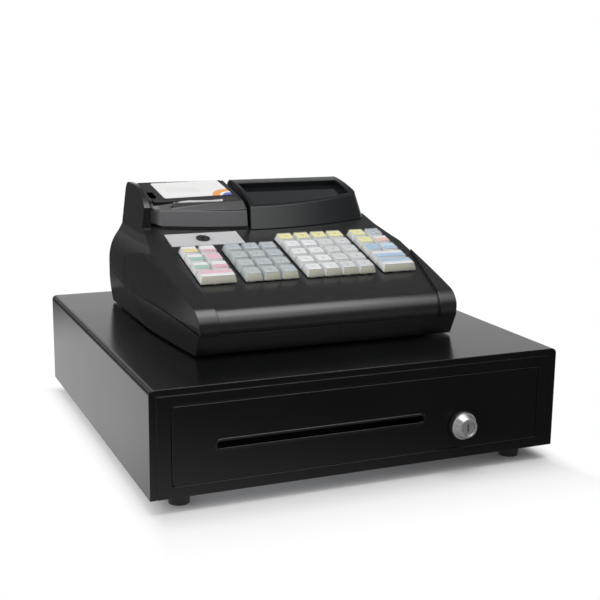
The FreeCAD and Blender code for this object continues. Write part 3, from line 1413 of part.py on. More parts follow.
def printer_cover():
    left = bay_left + s.cover_gap
    right = s.bay_right - s.cover_gap
    start_y = s.cover_start_y
    wall = s.cover_wall
    lip_z = roof_height(start_y) - s.cover_skirt
    lid = prism("X", left, right,
                [at(start_y, roof_height(start_y)), at(hinge_y, roof_height(hinge_y)),
                 at(hinge_y, roof_height(hinge_y) - wall),
                 at(start_y + wall, roof_height(start_y + wall) - wall), at(start_y + wall, lip_z),
                 at(start_y, lip_z)])
    knuckle = rod("X", (left, reg_y + hinge_y, roof_z + hinge_z), s.cover_hinge_size, right - left)
    bore = rod("X", (left - s.overrun, reg_y + hinge_y, roof_z + hinge_z),
               s.cover_hinge_pin + s.cover_hinge_play * 2, right - left + s.overrun * 2)
    notch_x = left + s.cover_notch / 2
    notch_end_y = s.cover_notch_y + s.cover_notch_length
    notch = fuse(*[post(notch_x, y, lip_z, roof_height(hinge_y), s.cover_notch)
                   for y in (s.cover_notch_y + s.cover_notch / 2, notch_end_y - s.cover_notch / 2)],
                 block((left - s.overrun, left + s.cover_notch),
                       (reg_y + s.cover_notch_y + s.cover_notch / 2, reg_y + notch_end_y - s.cover_notch / 2),
                       (roof_z + lip_z, roof_z + roof_height(hinge_y))))
    keep("printer_cover", cut(fuse(lid, knuckle), bore, notch))


def cover_label():
    """A white card that lies askew on the cover."""
    body = new_body()
    half_x = s.label_length / 2
    half_y = s.label_depth / 2
    pad(body, "Z", size_of(0), s.label_sheet, rectangle((-half_x, half_x), (-half_y, half_y)))
    round_edges(body, lambda e: runs_along(e, AXIS_Z), s.label_corner)
    y, z = at(s.label_y, roof_height(s.label_y))
    slope = math.degrees(math.atan(float(roof_rise())))
    turn = FreeCAD.Rotation(AXIS_X, slope).multiply(FreeCAD.Rotation(AXIS_Z, float(s.label_turn)))
    body.Placement = FreeCAD.Placement(Vector(float(s.label_x), float(y), float(z)), turn)
    keep("cover_label", body)


def tear_bar():
    half = s.slot_paper_width / 2
    low = roof_z + s.tower_slot_z - s.bar_depth
    root = roof_z + s.tower_slot_z
    tip = root + s.bar_sheet
    count = int(float(s.slot_paper_width / s.bar_tooth))
    points = [(bay_middle - half, low)]
    for i in range(count):
        start = bay_middle - half + s.bar_tooth * i
        points += [(start, root), (start + s.bar_tooth / 2, tip)]
    points += [(bay_middle + half, root), (bay_middle + half, low)]
    keep("tear_bar", prism("Y", reg_y + slot_start_y, reg_y + slot_start_y + s.bar_sheet, points))


def paper_stub():
    """The torn end of the receipt, standing in the slot."""
    half = s.roll_width / 2
    y = reg_y + slot_start_y + s.bar_sheet + s.sheet_gap
    low = roof_z + s.tower_slot_z - s.bar_depth
    top = roof_z + s.tower_slot_z + s.stub_rise
    torn = roof_z + s.tower_slot_z
    notch = s.bar_tooth * 2
    keep("paper_stub", prism("Y", y, y + s.stub_sheet,
                             [(bay_middle - half, low), (bay_middle - half, torn),
                              (bay_middle - half + notch / 2, top - s.stub_rise / 2),
                              (bay_middle - half + notch, torn),
                              (bay_middle - half + notch * 2, top - s.stub_rise / 3),
                              (bay_middle - half / 3, top), (bay_middle + half / 2, top - s.stub_rise / 3),
                              (bay_middle + half, top), (bay_middle + half, low)]))


def printer_frame():
    sheet = s.printer_sheet
    inner = s.roll_width / 2 + s.overrun
    floor = s.pad_height + s.case_wall
    near_y = s.platen_y - s.platen_shaft
    neck_y = s.platen_y + s.platen_size
    plates = [prism("X", x, x + sheet,
                    [at(near_y, floor), at(near_y, s.platen_z + s.platen_shaft),
                     at(neck_y, s.platen_z + s.platen_shaft),
                      at(s.roll_y - s.roll_core, s.roll_z + s.roll_core),
                     at(s.roll_y + s.roll_core, s.roll_z + s.roll_core), at(s.roll_y + s.roll_core, floor)])
              for x in (bay_middle - inner - sheet, bay_middle + inner)]
    shelf_z = roof_z + s.platen_z - s.platen_size
    shelf = block((bay_middle - inner, bay_middle + inner),
                  (reg_y + near_y, reg_y + s.roll_y - s.roll_size / 2 - s.overrun),
                  (shelf_z - sheet, shelf_z))
    spindle = rod("X", (bay_middle - inner, reg_y + s.roll_y, roof_z + s.roll_z), s.roll_spindle, inner * 2)
    hole = rod("X", (bay_middle - inner * 2, reg_y + s.platen_y, roof_z + s.platen_z),
               s.platen_shaft + s.platen_play * 2, inner * 4)
    keep("printer_frame", cut(fuse(*plates, shelf, spindle), hole))


def platen_roller():
    half = s.roll_width / 2
    reach = half + s.overrun + s.printer_sheet + s.sheet_gap
    y, z = at(s.platen_y, s.platen_z)
    drum = rod("X", (bay_middle - half, y, z), s.platen_size, half * 2)
    shaft = rod("X", (bay_middle - reach, y, z), s.platen_shaft, reach * 2)
    keep("platen_roller", fuse(drum, shaft))


def paper_roll():
    half = s.roll_width / 2
    y, z = at(s.roll_y, s.roll_z)
    paper = rod("X", (bay_middle - half, y, z), s.roll_size, s.roll_width)
    core = rod("X", (bay_middle - half - s.overrun, y, z), s.roll_core, s.roll_width + s.overrun * 2)
    keep("paper_roll", cut(paper, core))


def printer_fascia():
    """The bowed grey panel in front of the printer, turned back at its left end."""
    wall = s.panel_wall
    near_y = s.tower_y - wall * 2
    end_y = s.deck_end_y + s.overrun

    def top(y):
        return s.panel_top_z + (y - s.tower_y) * s.panel_top_rise

    window = prism("X", -s.tower_top_half + s.cheek_width + s.sheet_gap, s.hood_left - s.overrun,
                   [at(near_y, deck_height(near_y) + s.panel_low),
                    at(end_y, deck_height(end_y) + s.panel_low),
                    at(end_y, top(end_y)), at(near_y, top(near_y))])
    shoulder_y = face_y(s.tower_shoulder_z)
    skins = [ruled("Z", roof_z + under_z, roof_z + s.tower_shoulder_z,
                   block_outline(face_y(under_z), margin), block_outline(shoulder_y, margin))
             for margin in (wall, size_of(0))]
    brow = block((-side_x, side_x), (reg_y, reg_y + s.reg_depth),
                 (roof_z + s.tower_shoulder_z, roof_z + s.cheek_far_z))
    keep("printer_fascia", cut(common(window, skins[0]), skins[1], brow))


# Keyboard

def stem_places():
    """Middle of every stem: one under a small key, one under the middle of a wide key."""
    return [place for places, span in KEYBOARD.values() for place in places]


def keyboard_sheet(low, high):
    """A plate under all blocks of keys, stepped back round the mode lock's socket."""
    margin = s.key_pitch / 2 + s.well_margin
    left = column_x(0, 0) - margin
    right = column_x(3, 1) + margin
    step_x = column_x(2, 0) - margin
    near = row_along(ROWS - 1) - margin
    return prism("Z", low, high, [(left, near), (right, near), (right, row_along(0) + margin),
                                  (step_x, row_along(0) + margin), (step_x, row_along(1) + margin),
                                  (left, row_along(1) + margin)])


def keyboard_frame():
    top = -s.case_wall
    half = s.key_stem / 2 + s.key_stem_play
    wells = [block((x - half, x + half), (y - half, y + half),
                   (top - s.well_plate - s.overrun, top + s.overrun))
             for x, y in stem_places()]
    keep("keyboard_frame", on_deck(cut(keyboard_sheet(top - s.well_plate, top), group(*wells))))


def key_board():
    top = -s.case_wall - s.well_plate - s.board_drop
    left = column_x(0, 0) - s.key_pitch / 2 - s.board_post / 2
    right = column_x(3, 1) + s.key_pitch / 2 + s.board_post / 2
    near = row_along(ROWS - 1) - s.key_pitch / 2
    corners = [(left, near), (right, near), (left, row_along(1) + s.key_pitch / 2),
               (right, row_along(0) + s.key_pitch / 2)]
    posts = [rod("Z", (x, y, top), s.board_post, s.board_drop) for x, y in corners]
    keep("key_board", on_deck(fuse(keyboard_sheet(top - s.board_sheet, top), *posts)))


def key_cap(x, along, span):
    """A clear cap with an upright skirt and a tapered top, and its stem."""
    half_x = s.key_base / 2 + s.key_pitch / 2 * (span - 1)
    half_y = s.key_base / 2
    face_x = half_x - (s.key_base - s.key_top_width) / 2
    face_y_half = s.key_top_depth / 2
    knee = s.key_float + s.key_skirt
    body = ruled("Z", knee, s.key_rise, rectangle((-half_x, half_x), (-half_y, half_y)),
                 rectangle((-face_x, face_x), (s.key_top_shift - face_y_half, s.key_top_shift + face_y_half)))
    pad(body, "Z", s.key_float, knee, rectangle((-half_x, half_x), (-half_y, half_y)))
    stem = s.key_stem / 2
    pad(body, "Z", -s.key_stem_reach, s.key_float, rectangle((-stem, stem), (-stem, stem)))
    return on_deck(body, x, along)


def keyboard_layout():
    """Node of each key or group of keys, its places and how many columns a key spans."""
    layout = {}
    for row in range(1, 5):
        for column in range(3):
            number = (row - 1) * 3 + column + 1
            layout[f"number_key_{number}"] = ([(column_x(1, column), row_along(row))], 1)
    wide_left = (column_x(0, 0) + column_x(0, 1)) / 2
    wide_right = (column_x(3, 0) + column_x(3, 1)) / 2
    layout["wide_key_left"] = ([(wide_left, row_along(4))], 2)
    layout["wide_key_upper"] = ([(wide_right, row_along(3))], 2)
    layout["wide_key_lower"] = ([(wide_right, row_along(4))], 2)
    layout["function_keys_left"] = ([(column_x(0, c), row_along(r)) for r in (1, 2, 3) for c in (0, 1)], 1)
    for column in range(4):
        layout[f"department_keys_{column + 1}"] = (
            [(column_x(2, column), row_along(r)) for r in range(ROWS)], 1)
    layout["function_keys_right"] = ([(column_x(3, c), row_along(r)) for r in (0, 1, 2) for c in (0, 1)], 1)
    return layout


KEYBOARD = keyboard_layout()


def keys():
    for name, (places, span) in KEYBOARD.items():
        caps = [key_cap(x, along, span) for x, along in places]
        keep(name, caps[0] if len(caps) == 1 else group(*caps))


def mode_plate():
    half_x = s.plate_length / 2
    half_y = s.plate_depth / 2
    plate = block((s.plate_x - half_x, s.plate_x + half_x), (s.plate_along - half_y, s.plate_along + half_y),
                  (size_of(0), s.plate_sheet))
    hole = rod("Z", (s.mode_x, s.mode_along, -s.overrun), s.mode_size + s.mode_play * 2,
               s.plate_sheet + s.overrun * 2)
    keep("mode_plate", on_deck(cut(plate, hole)))


def mode_plug():
    body = new_body()
    top = s.plate_sheet + s.mode_rise
    pad(body, "Z", -s.mode_body, top, circle=((0, 0), s.mode_size))
    half = s.mode_keyway_width / 2
    pocket(body, "Z", top - s.mode_keyway_depth, top + s.overrun,
           rectangle((-half, half), (-s.mode_keyway_length / 2, s.mode_keyway_length / 2)))
    keep("mode_plug", on_deck(body, s.mode_x, s.mode_along))


cabinet_cover()
cabinet_base()
front_frame()
rubber_feet()
cabinet_rails()
rollers("cabinet_rollers", pan_x + s.pin_head, front_roller_y, s.roller_pin)
rollers("drawer_rollers", inner_x - s.rail_reach + s.overrun, back_roller_y, s.roller_pin)
drawer_front()
drawer_pan()
lock_barrel()
lock_plug()
lock_cam()
cash_tray()
for clip_number in range(1, int(float(s.note_bays)) + 1):
    note_clip(clip_number)
latch_hook()
solenoid()
solenoid_plunger()
eject_spring()
mode_plug()
cover_label()
top_case()
base_case()
case_screws()
register_feet()
display_hood()
display_window()
printer_cover()
tear_bar()
paper_stub()
printer_frame()
platen_roller()
paper_roll()
printer_fascia()
keyboard_frame()
key_board()
keys()
mode_plate()

doc.recompute()

failed = [item.Name for item in doc.Objects if "Invalid" in item.State or "Error" in item.State]
if failed:
    raise ValueError("failed objects: " + ", ".join(failed))
for name, item in sub_parts.items():
    if item.Shape.isNull() or not item.Shape.isValid() or not item.Shape.Solids:
        raise ValueError(f"{name} has no valid solid")

os.makedirs("parts", exist_ok=True)
for name, item in sub_parts.items():
    item.Shape.exportStep(f"parts/{name}.step")
print(len(sub_parts), "sub-parts written")
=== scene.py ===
import math
import bpy
from mathutils import Matrix, Vector


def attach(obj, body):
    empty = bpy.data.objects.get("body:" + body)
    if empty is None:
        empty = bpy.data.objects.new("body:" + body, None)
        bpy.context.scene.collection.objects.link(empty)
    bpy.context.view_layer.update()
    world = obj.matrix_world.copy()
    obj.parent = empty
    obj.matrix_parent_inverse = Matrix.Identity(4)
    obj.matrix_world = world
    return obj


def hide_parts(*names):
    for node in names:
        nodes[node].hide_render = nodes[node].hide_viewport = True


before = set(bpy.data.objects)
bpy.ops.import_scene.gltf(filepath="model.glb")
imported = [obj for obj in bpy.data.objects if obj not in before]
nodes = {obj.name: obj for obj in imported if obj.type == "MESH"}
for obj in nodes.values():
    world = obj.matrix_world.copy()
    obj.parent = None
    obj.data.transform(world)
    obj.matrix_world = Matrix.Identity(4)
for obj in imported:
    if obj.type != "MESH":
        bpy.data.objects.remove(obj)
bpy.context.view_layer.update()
print("frame loaded")

deckZero = Vector((0, 0.00625, 0.188871))  # where the keyboard's rows are counted from
deckSlope = math.radians(15)
deckMatrix = Matrix.Translation(deckZero) @ Matrix.Rotation(deckSlope, 4, "X")


class Socket:  # lets node maths be written as plain expressions
    def __init__(self, shader, link):
        self.shader = shader
        self.link = link

    def math(self, operation, first, second):
        return self.shader.add("Math", {"operation": operation}, {0: first, 1: second})

    def __add__(self, other):
        return self.math("ADD", self, other)

    def __radd__(self, other):
        return self.math("ADD", other, self)

    def __sub__(self, other):
        return self.math("SUBTRACT", self, other)

    def __rsub__(self, other):
        return self.math("SUBTRACT", other, self)

    def __mul__(self, other):
        return self.math("MULTIPLY", self, other)

    def __rmul__(self, other):
        return self.math("MULTIPLY", other, self)

    def __gt__(self, other):
        return self.math("GREATER_THAN", self, other)

    def __lt__(self, other):
        return self.math("LESS_THAN", self, other)

    def spread(self, amount):  # noise from 0 to 1 as a little more or less
        return (self - 0.5) * amount

    def clamped(self, low, high):  # 0 below low, 1 above high
        return self.shader.add("MapRange", {"interpolation_type": "SMOOTHSTEP"},
                               {"Value": self, "From Min": low, "From Max": high})


class Shader:
    def __init__(self, name, holder=None):
        if holder is None:
            holder = bpy.data.materials.new(name)
            holder.use_nodes = True
        self.holder = holder
        self.tree = holder.node_tree
        self.tree.nodes.clear()

    def add(self, kind, settings=None, values=None, out=0):
        node = self.tree.nodes.new("ShaderNode" + kind)
        for name, value in (settings or {}).items():
            setattr(node, name, value)
        for name, value in (values or {}).items():
            if isinstance(value, Socket):
                self.tree.links.new(value.link, node.inputs[name])
            else:
                if isinstance(value, tuple) and len(value) == 3 and node.inputs[name].type == "RGBA":
                    value = (*value, 1)
                node.inputs[name].default_value = value
        return Socket(self, node.outputs[out])

    def place(self):
        return self.add("TexCoord", out="Object")

    def axes(self, vector):
        return [self.add("SeparateXYZ", None, {0: vector}, out=i) for i in range(3)]

    def noise(self, vector, scale, detail=2.0, roughness=0.5):
        return self.add("TexNoise", {"noise_dimensions": "3D"},
                        {"Vector": vector, "Scale": scale, "Detail": detail, "Roughness": roughness})

    def colourMix(self, factor, first, second):
        node = self.tree.nodes.new("ShaderNodeMix")
        node.data_type = "RGBA"
        for index, value in ((0, factor), (6, first), (7, second)):
            if isinstance(value, Socket):
                self.tree.links.new(value.link, node.inputs[index])
            else:
                node.inputs[index].default_value = (*value, 1)
        return Socket(self, node.outputs[2])

    def maximum(self, first, second):
        return self.add("Math", {"operation": "MAXIMUM"}, {0: first, 1: second})

    def bump(self, height, distance, strength, normal=None):
        values = {"Height": height, "Distance": distance, "Strength": strength}
        if normal is not None:
            values["Normal"] = normal
        return self.add("Bump", None, values)

    def rounded(self, radius):  # edges catch the light as a real small radius does
        return self.add("Bevel", {"samples": 6}, {"Radius": radius})

    def shows(self, surface, output="OutputMaterial"):
        end = self.tree.nodes.new("ShaderNode" + output)
        self.tree.links.new(surface.link, end.inputs["Surface"])
        return self.holder

    def finish(self, **values):
        named = {name.replace("_", " "): value for name, value in values.items()}
        return self.shows(self.add("BsdfPrincipled", None, named))


def dress(material, *names):
    for name in names:
        data = nodes[name].data
        data.materials.clear()
        data.materials.append(material)


# Finishes: lengths in metres, noise scales per metre


def tinted(colour, factor):
    return tuple(c * factor for c in colour)


paint = {
    "colour": (0.0034, 0.0036, 0.0039), "tint": 1.5, "clouds": 14.0, "peel": 700.0, "grain": 3200.0,
    "peelShare": 0.7, "grainShare": 0.3, "relief": 0.00003, "strength": 0.1, "edge": 0.0013,
    "roughness": 0.2, "cloudSpread": 0.08, "peelSpread": 0.05, "specular": 0.5,
}


def powderCoat(name, settings):
    shader = Shader(name)
    place = shader.place()
    clouds = shader.noise(place, settings["clouds"], 4.0)
    peel = shader.noise(place, settings["peel"], 2.0)
    grain = shader.noise(place, settings["grain"], 1.0)
    colour = shader.colourMix(clouds, settings["colour"], tinted(settings["colour"], settings["tint"]))
    height = peel * settings["peelShare"] + grain * settings["grainShare"]
    normal = shader.bump(height, settings["relief"], settings["strength"], shader.rounded(settings["edge"]))
    roughness = settings["roughness"] + clouds.spread(settings["cloudSpread"])
    roughness = roughness + peel.spread(settings["peelSpread"])
    return shader.finish(Base_Color=colour, Roughness=roughness, Normal=normal,
                         Specular_IOR_Level=settings["specular"])


# what every moulded finish has unless it says otherwise
moulding = {
    "tint": 1.25, "clouds": 9.0, "coarser": 3, "fineShare": 0.6, "coarseShare": 0.4, "relief": 0.00005,
    "strength": 0.45, "cloudSpread": 0.1, "grainSpread": 0.06, "specular": 0.5,
}


def mouldedPlastic(name, choice):
    settings = {**moulding, **choice}
    shader = Shader(name)
    place = shader.place()
    clouds = shader.noise(place, settings["clouds"], 3.0)
    grain = shader.noise(place, settings["grain"], 2.0)
    coarse = shader.noise(place, settings["grain"] / settings["coarser"], 1.0)
    colour = shader.colourMix(clouds, settings["colour"], tinted(settings["colour"], settings["tint"]))
    height = grain * settings["fineShare"] + coarse * settings["coarseShare"]
    normal = shader.bump(height, settings["relief"], settings["strength"], shader.rounded(settings["edge"]))
    roughness = settings["roughness"] + clouds.spread(settings["cloudSpread"])
    roughness = roughness + grain.spread(settings["grainSpread"])
    return shader.finish(Base_Color=colour, Roughness=roughness, Normal=normal,
                         Specular_IOR_Level=settings["specular"])


bareMetal = {
    "scratches": 260.0, "clouds": 40.0, "tint": 0.86, "relief": 0.00002, "strength": 0.3, "spread": 0.12,
    "edge": 0.0003, "metal": 1.0,
}


def plainMetal(name, choice):
    settings = {**bareMetal, **choice}
    shader = Shader(name)
    place = shader.place()
    scratches = shader.noise(place, settings["scratches"], 3.0)
    clouds = shader.noise(place, settings["clouds"], 3.0)
    tone = shader.colourMix(clouds, tinted(settings["colour"], settings["tint"]), settings["colour"])
    edges = shader.rounded(settings["edge"])
    return shader.finish(Base_Color=tone, Metallic=settings["metal"],
                         Normal=shader.bump(scratches, settings["relief"], settings["strength"], edges),
                         Roughness=settings["roughness"] + clouds.spread(settings["spread"]))


zinc = {
    "flakes": 130.0, "clouds": 24.0, "grain": 900.0, "flakeShare": 0.5, "cloudShare": 0.5,
    "dark": (0.42, 0.43, 0.45), "pale": (0.66, 0.67, 0.69), "relief": 0.00003, "strength": 0.4,
    "edge": 0.0004, "roughness": 0.3, "spread": 0.14,
}


def zincPlate():
    shader = Shader("zincPlate")
    place = shader.place()
    cells = shader.add("TexVoronoi", {"feature": "F1"}, {"Vector": place, "Scale": zinc["flakes"]},
                       out="Color")
    flake = shader.axes(cells)[0]
    clouds = shader.noise(place, zinc["clouds"], 4.0)
    share = flake * zinc["flakeShare"] + clouds * zinc["cloudShare"]
    colour = shader.colourMix(share, zinc["dark"], zinc["pale"])
    normal = shader.bump(shader.noise(place, zinc["grain"]), zinc["relief"], zinc["strength"],
                         shader.rounded(zinc["edge"]))
    return shader.finish(Base_Color=colour, Metallic=1.0, Normal=normal,
                         Roughness=zinc["roughness"] + flake * zinc["spread"])


softRubber = {
    "grain": 1800.0, "dust": 60.0, "dustTint": 1.9, "dustLift": 0.004, "relief": 0.00008, "strength": 0.6,
    "edge": 0.0006, "roughness": 0.72, "spread": 0.2,
}


def rubber(name, colour):
    shader = Shader(name)
    place = shader.place()
    grain = shader.noise(place, softRubber["grain"], 3.0)
    dust = shader.noise(place, softRubber["dust"], 4.0)
    dusty = tuple(c + softRubber["dustLift"] for c in tinted(colour, softRubber["dustTint"]))
    edges = shader.rounded(softRubber["edge"])
    return shader.finish(Base_Color=shader.colourMix(dust, colour, dusty),
                         Roughness=softRubber["roughness"] + grain.spread(softRubber["spread"]),
                         Normal=shader.bump(grain, softRubber["relief"], softRubber["strength"], edges))


window = {
    "colour": (0.008, 0.0095, 0.012), "smears": 22.0, "smearRange": (0.45, 0.8), "roughness": 0.09,
    "spread": 0.1, "coat": 0.3, "coatRoughness": 0.05, "specular": 0.5, "edge": 0.0003,
}


def tintedWindow():
    shader = Shader("tintedWindow")
    place = shader.place()
    smear = shader.noise(place, window["smears"], 5.0, 0.6).clamped(*window["smearRange"])
    roughness = window["roughness"] + smear * window["spread"]
    return shader.finish(Base_Color=window["colour"], Roughness=roughness,
                         Coat_Weight=window["coat"], Coat_Roughness=window["coatRoughness"],
                         Specular_IOR_Level=window["specular"], Normal=shader.rounded(window["edge"]))


lock = {
    "collarFace": -0.2062, "collar": (0.012, 0.012, 0.013), "bezel": (0.8, 0.8, 0.79), "metal": 0.75,
    "clouds": 120.0, "roughness": 0.3, "polish": 0.14, "spread": 0.06, "relief": 0.00002, "strength": 0.2,
    "edge": 0.0004,
}


def lockFinish():  # black collar on the drawer front, bright bezel standing out of it
    shader = Shader("lockFinish")
    place = shader.place()
    bright = shader.axes(place)[1] < lock["collarFace"]
    clouds = shader.noise(place, lock["clouds"], 3.0)
    colour = shader.colourMix(bright, lock["collar"], lock["bezel"])
    normal = shader.bump(clouds, lock["relief"], lock["strength"], shader.rounded(lock["edge"]))
    roughness = lock["roughness"] - bright * lock["polish"] + clouds.spread(lock["spread"])
    return shader.finish(Base_Color=colour, Metallic=bright * lock["metal"],
                         Roughness=roughness, Normal=normal)


foil = {
    "colour": (0.63, 0.63, 0.64), "tint": 0.9, "lines": 5200.0, "stretch": (0.03, 1.0, 1.0), "clouds": 60.0,
    "lineShare": 0.6, "cloudShare": 0.4, "metal": 0.25, "roughness": 0.34, "spread": 0.14, "relief": 0.00001,
    "strength": 0.3, "edge": 0.0002,
}


def brushedFoil():
    shader = Shader("brushedFoil")
    place = shader.place()
    along = shader.add("Mapping", None, {"Vector": place, "Scale": foil["stretch"]})
    lines = shader.noise(along, foil["lines"], 2.0)
    clouds = shader.noise(place, foil["clouds"], 3.0)
    colour = shader.colourMix(lines * foil["lineShare"] + clouds * foil["cloudShare"],
                              tinted(foil["colour"], foil["tint"]), foil["colour"])
    normal = shader.bump(lines, foil["relief"], foil["strength"], shader.rounded(foil["edge"]))
    return shader.finish(Base_Color=colour, Metallic=foil["metal"], Normal=normal,
                         Roughness=foil["roughness"] + lines.spread(foil["spread"]))


sheet = {
    "fibre": 700.0, "clouds": 60.0, "tint": 0.93, "cloudShare": 0.6, "fibreShare": 0.4, "relief": 0.00002,
    "strength": 0.3,
}


def paper(name, colour, roughness=0.55):
    shader = Shader(name)
    place = shader.place()
    fibre = shader.noise(place, sheet["fibre"], 4.0, 0.6)
    clouds = shader.noise(place, sheet["clouds"], 3.0)
    tone = shader.colourMix(clouds * sheet["cloudShare"] + fibre * sheet["fibreShare"],
                            tinted(colour, sheet["tint"]), colour)
    return shader.finish(Base_Color=tone, Roughness=roughness,
                         Normal=shader.bump(fibre, sheet["relief"], sheet["strength"]))


case = {"colour": (0.006, 0.0063, 0.0067), "roughness": 0.27, "grain": 2600.0, "edge": 0.0012,
        "relief": 0.00002}
# each finish with the solids that wear it
mouldings = {
    "casePlastic": (case, ["base_case", "top_case", "printer_cover"]),
    "hoodPlastic": ({**case, "colour": (0.0062, 0.0078, 0.0084), "specular": 0.34}, ["display_hood"]),
    "trayPlastic": ({"colour": (0.02, 0.02, 0.021), "roughness": 0.5, "grain": 1500.0, "edge": 0.0008,
                     "relief": 0.0001}, ["cash_tray", *[f"note_clip_{i}" for i in range(1, 5)]]),
    "panelPlastic": ({"colour": (0.1, 0.101, 0.105), "roughness": 0.3, "grain": 3000.0, "edge": 0.0005,
                      "relief": 0.00002}, ["printer_fascia"]),
    "framePlastic": ({"colour": (0.03, 0.03, 0.03), "roughness": 0.5, "grain": 2000.0, "edge": 0.0004},
                     ["keyboard_frame", "printer_frame"]),
    "nylon": ({"colour": (0.72, 0.71, 0.66), "roughness": 0.42, "grain": 1800.0, "edge": 0.0004},
              ["cabinet_rollers", "drawer_rollers"]),
    "plugPlastic": ({"colour": (0.012, 0.012, 0.013), "roughness": 0.25, "grain": 3000.0, "edge": 0.0004,
                     "relief": 0.00002}, ["mode_plug"]),
    "boardLaminate": ({"colour": (0.03, 0.11, 0.045), "roughness": 0.3, "grain": 1400.0, "edge": 0.0002},
                      ["key_board"]),
}
metals = {
    "solenoidSteel": ({"colour": (0.42, 0.36, 0.22), "roughness": 0.35}, ["solenoid"]),
    "polishedSteel": ({"colour": (0.6, 0.6, 0.6), "roughness": 0.24},
                      ["solenoid_plunger", "eject_spring", "case_screws", "tear_bar"]),
    "chrome": ({"colour": (0.7, 0.7, 0.69), "roughness": 0.18, "edge": 0.0004, "metal": lock["metal"]},
               ["lock_plug", "lock_cam"]),
}
dress(powderCoat("cabinetPaint", paint), "cabinet_cover", "front_frame", "drawer_front")
dress(zincPlate(), "cabinet_base", "cabinet_rails", "drawer_pan", "latch_hook")
for name, (settings, solids) in mouldings.items():
    dress(mouldedPlastic(name, settings), *solids)
for name, (settings, solids) in metals.items():
    dress(plainMetal(name, settings), *solids)
dress(lockFinish(), "lock_barrel")
dress(brushedFoil(), "mode_plate")
dress(rubber("footRubber", (0.014, 0.014, 0.014)), "rubber_feet", "register_feet")
dress(rubber("platenRubber", (0.03, 0.03, 0.03)), "platen_roller")
dress(tintedWindow(), "display_window")
dress(paper("receiptPaper", (0.86, 0.86, 0.84)), "paper_roll", "paper_stub")
print("finishes on the solids")

card = {
    "corner": (-0.0235, 0.0955), "blueReach": 0.011, "orangeReach": (0.0145, 0.0225), "ruling": 0.002,
    "line": 0.00035, "linesX": (-0.094, -0.055), "linesY": (0.112, 0.128), "white": (0.84, 0.84, 0.83),
    "grey": (0.55, 0.56, 0.6), "orange": (0.86, 0.36, 0.09), "blue": (0.13, 0.15, 0.5), "fibre": 900.0,
    "roughness": 0.22, "spread": 0.08, "coat": 0.3, "coatRoughness": 0.12, "relief": 0.00001, "strength": 0.2,
}


def cardPrint():
    # white card; two rings round its near right corner and ruled lines, nothing written
    shader = Shader("cardPrint")
    place = shader.place()
    x, y = shader.axes(place)[:2]
    fromX = x - card["corner"][0]
    fromY = y - card["corner"][1]
    reach = shader.add("Math", {"operation": "SQRT"}, {0: fromX * fromX + fromY * fromY})
    blue = reach < card["blueReach"]
    orange = (reach > card["orangeReach"][0]) * (reach < card["orangeReach"][1])
    lines = shader.add("Math", {"operation": "PINGPONG"}, {0: y, 1: card["ruling"]}) < card["line"]
    left, right = card["linesX"]
    low, top = card["linesY"]
    inside = (x < right) * (x > left) * (y < top) * (y > low)
    colour = shader.colourMix(lines * inside, card["white"], card["grey"])
    colour = shader.colourMix(orange, colour, card["orange"])
    colour = shader.colourMix(blue, colour, card["blue"])
    fibre = shader.noise(place, card["fibre"], 3.0)
    return shader.finish(Base_Color=colour, Roughness=card["roughness"] + fibre * card["spread"],
                         Coat_Weight=card["coat"], Coat_Roughness=card["coatRoughness"],
                         Normal=shader.bump(fibre, card["relief"], card["strength"]))


dress(cardPrint(), "cover_label")

# Modelling helpers


def nothingSelected():
    if bpy.context.object and bpy.context.object.mode != "OBJECT":
        bpy.ops.object.mode_set(mode="OBJECT")
    bpy.ops.object.select_all(action="DESELECT")


def only(piece):
    nothingSelected()
    piece.select_set(True)
    bpy.context.view_layer.objects.active = piece


def slab(name, low, high):
    nothingSelected()
    size = [b - a for a, b in zip(low, high)]
    middle = [(a + b) / 2 for a, b in zip(low, high)]
    bpy.ops.mesh.primitive_cube_add(size=1, location=middle, scale=size)
    piece = bpy.context.object
    piece.name = name
    bpy.ops.object.transform_apply(location=True, rotation=True, scale=True)
    return piece


def pick(piece, test):  # selects the faces that pass the test, and leaves edit mode on
    only(piece)
    bpy.ops.object.mode_set(mode="EDIT")
    bpy.ops.mesh.select_mode(type="FACE")
    bpy.ops.mesh.select_all(action="DESELECT")
    bpy.ops.object.mode_set(mode="OBJECT")
    for face in piece.data.polygons:
        face.select = bool(test(face))
    bpy.ops.object.mode_set(mode="EDIT")


softening = {"segments": 2, "sharper": 35, "smoothUnder": 40}


def soften(piece, width, segments=softening["segments"]):
    only(piece)
    bevel = piece.modifiers.new("soft", "BEVEL")
    bevel.width = width
    bevel.segments = segments
    bevel.limit_method = "ANGLE"
    bevel.angle_limit = math.radians(softening["sharper"])
    bpy.ops.object.modifier_apply(modifier=bevel.name)
    bpy.ops.object.shade_smooth_by_angle(angle=math.radians(softening["smoothUnder"]))


def paintAll(piece, material):
    piece.data.materials.clear()
    piece.data.materials.append(material)


def copied(piece, matrix):
    twin = piece.copy()
    twin.data = piece.data.copy()
    bpy.context.scene.collection.objects.link(twin)
    twin.data.transform(matrix)
    return twin


def joined(name, pieces):
    nothingSelected()
    for piece in pieces:
        piece.select_set(True)
    bpy.context.view_layer.objects.active = pieces[0]
    bpy.ops.object.join()
    pieces[0].name = name
    return pieces[0]


# Keys: a clear cap over a moulded core, with a printed card between them

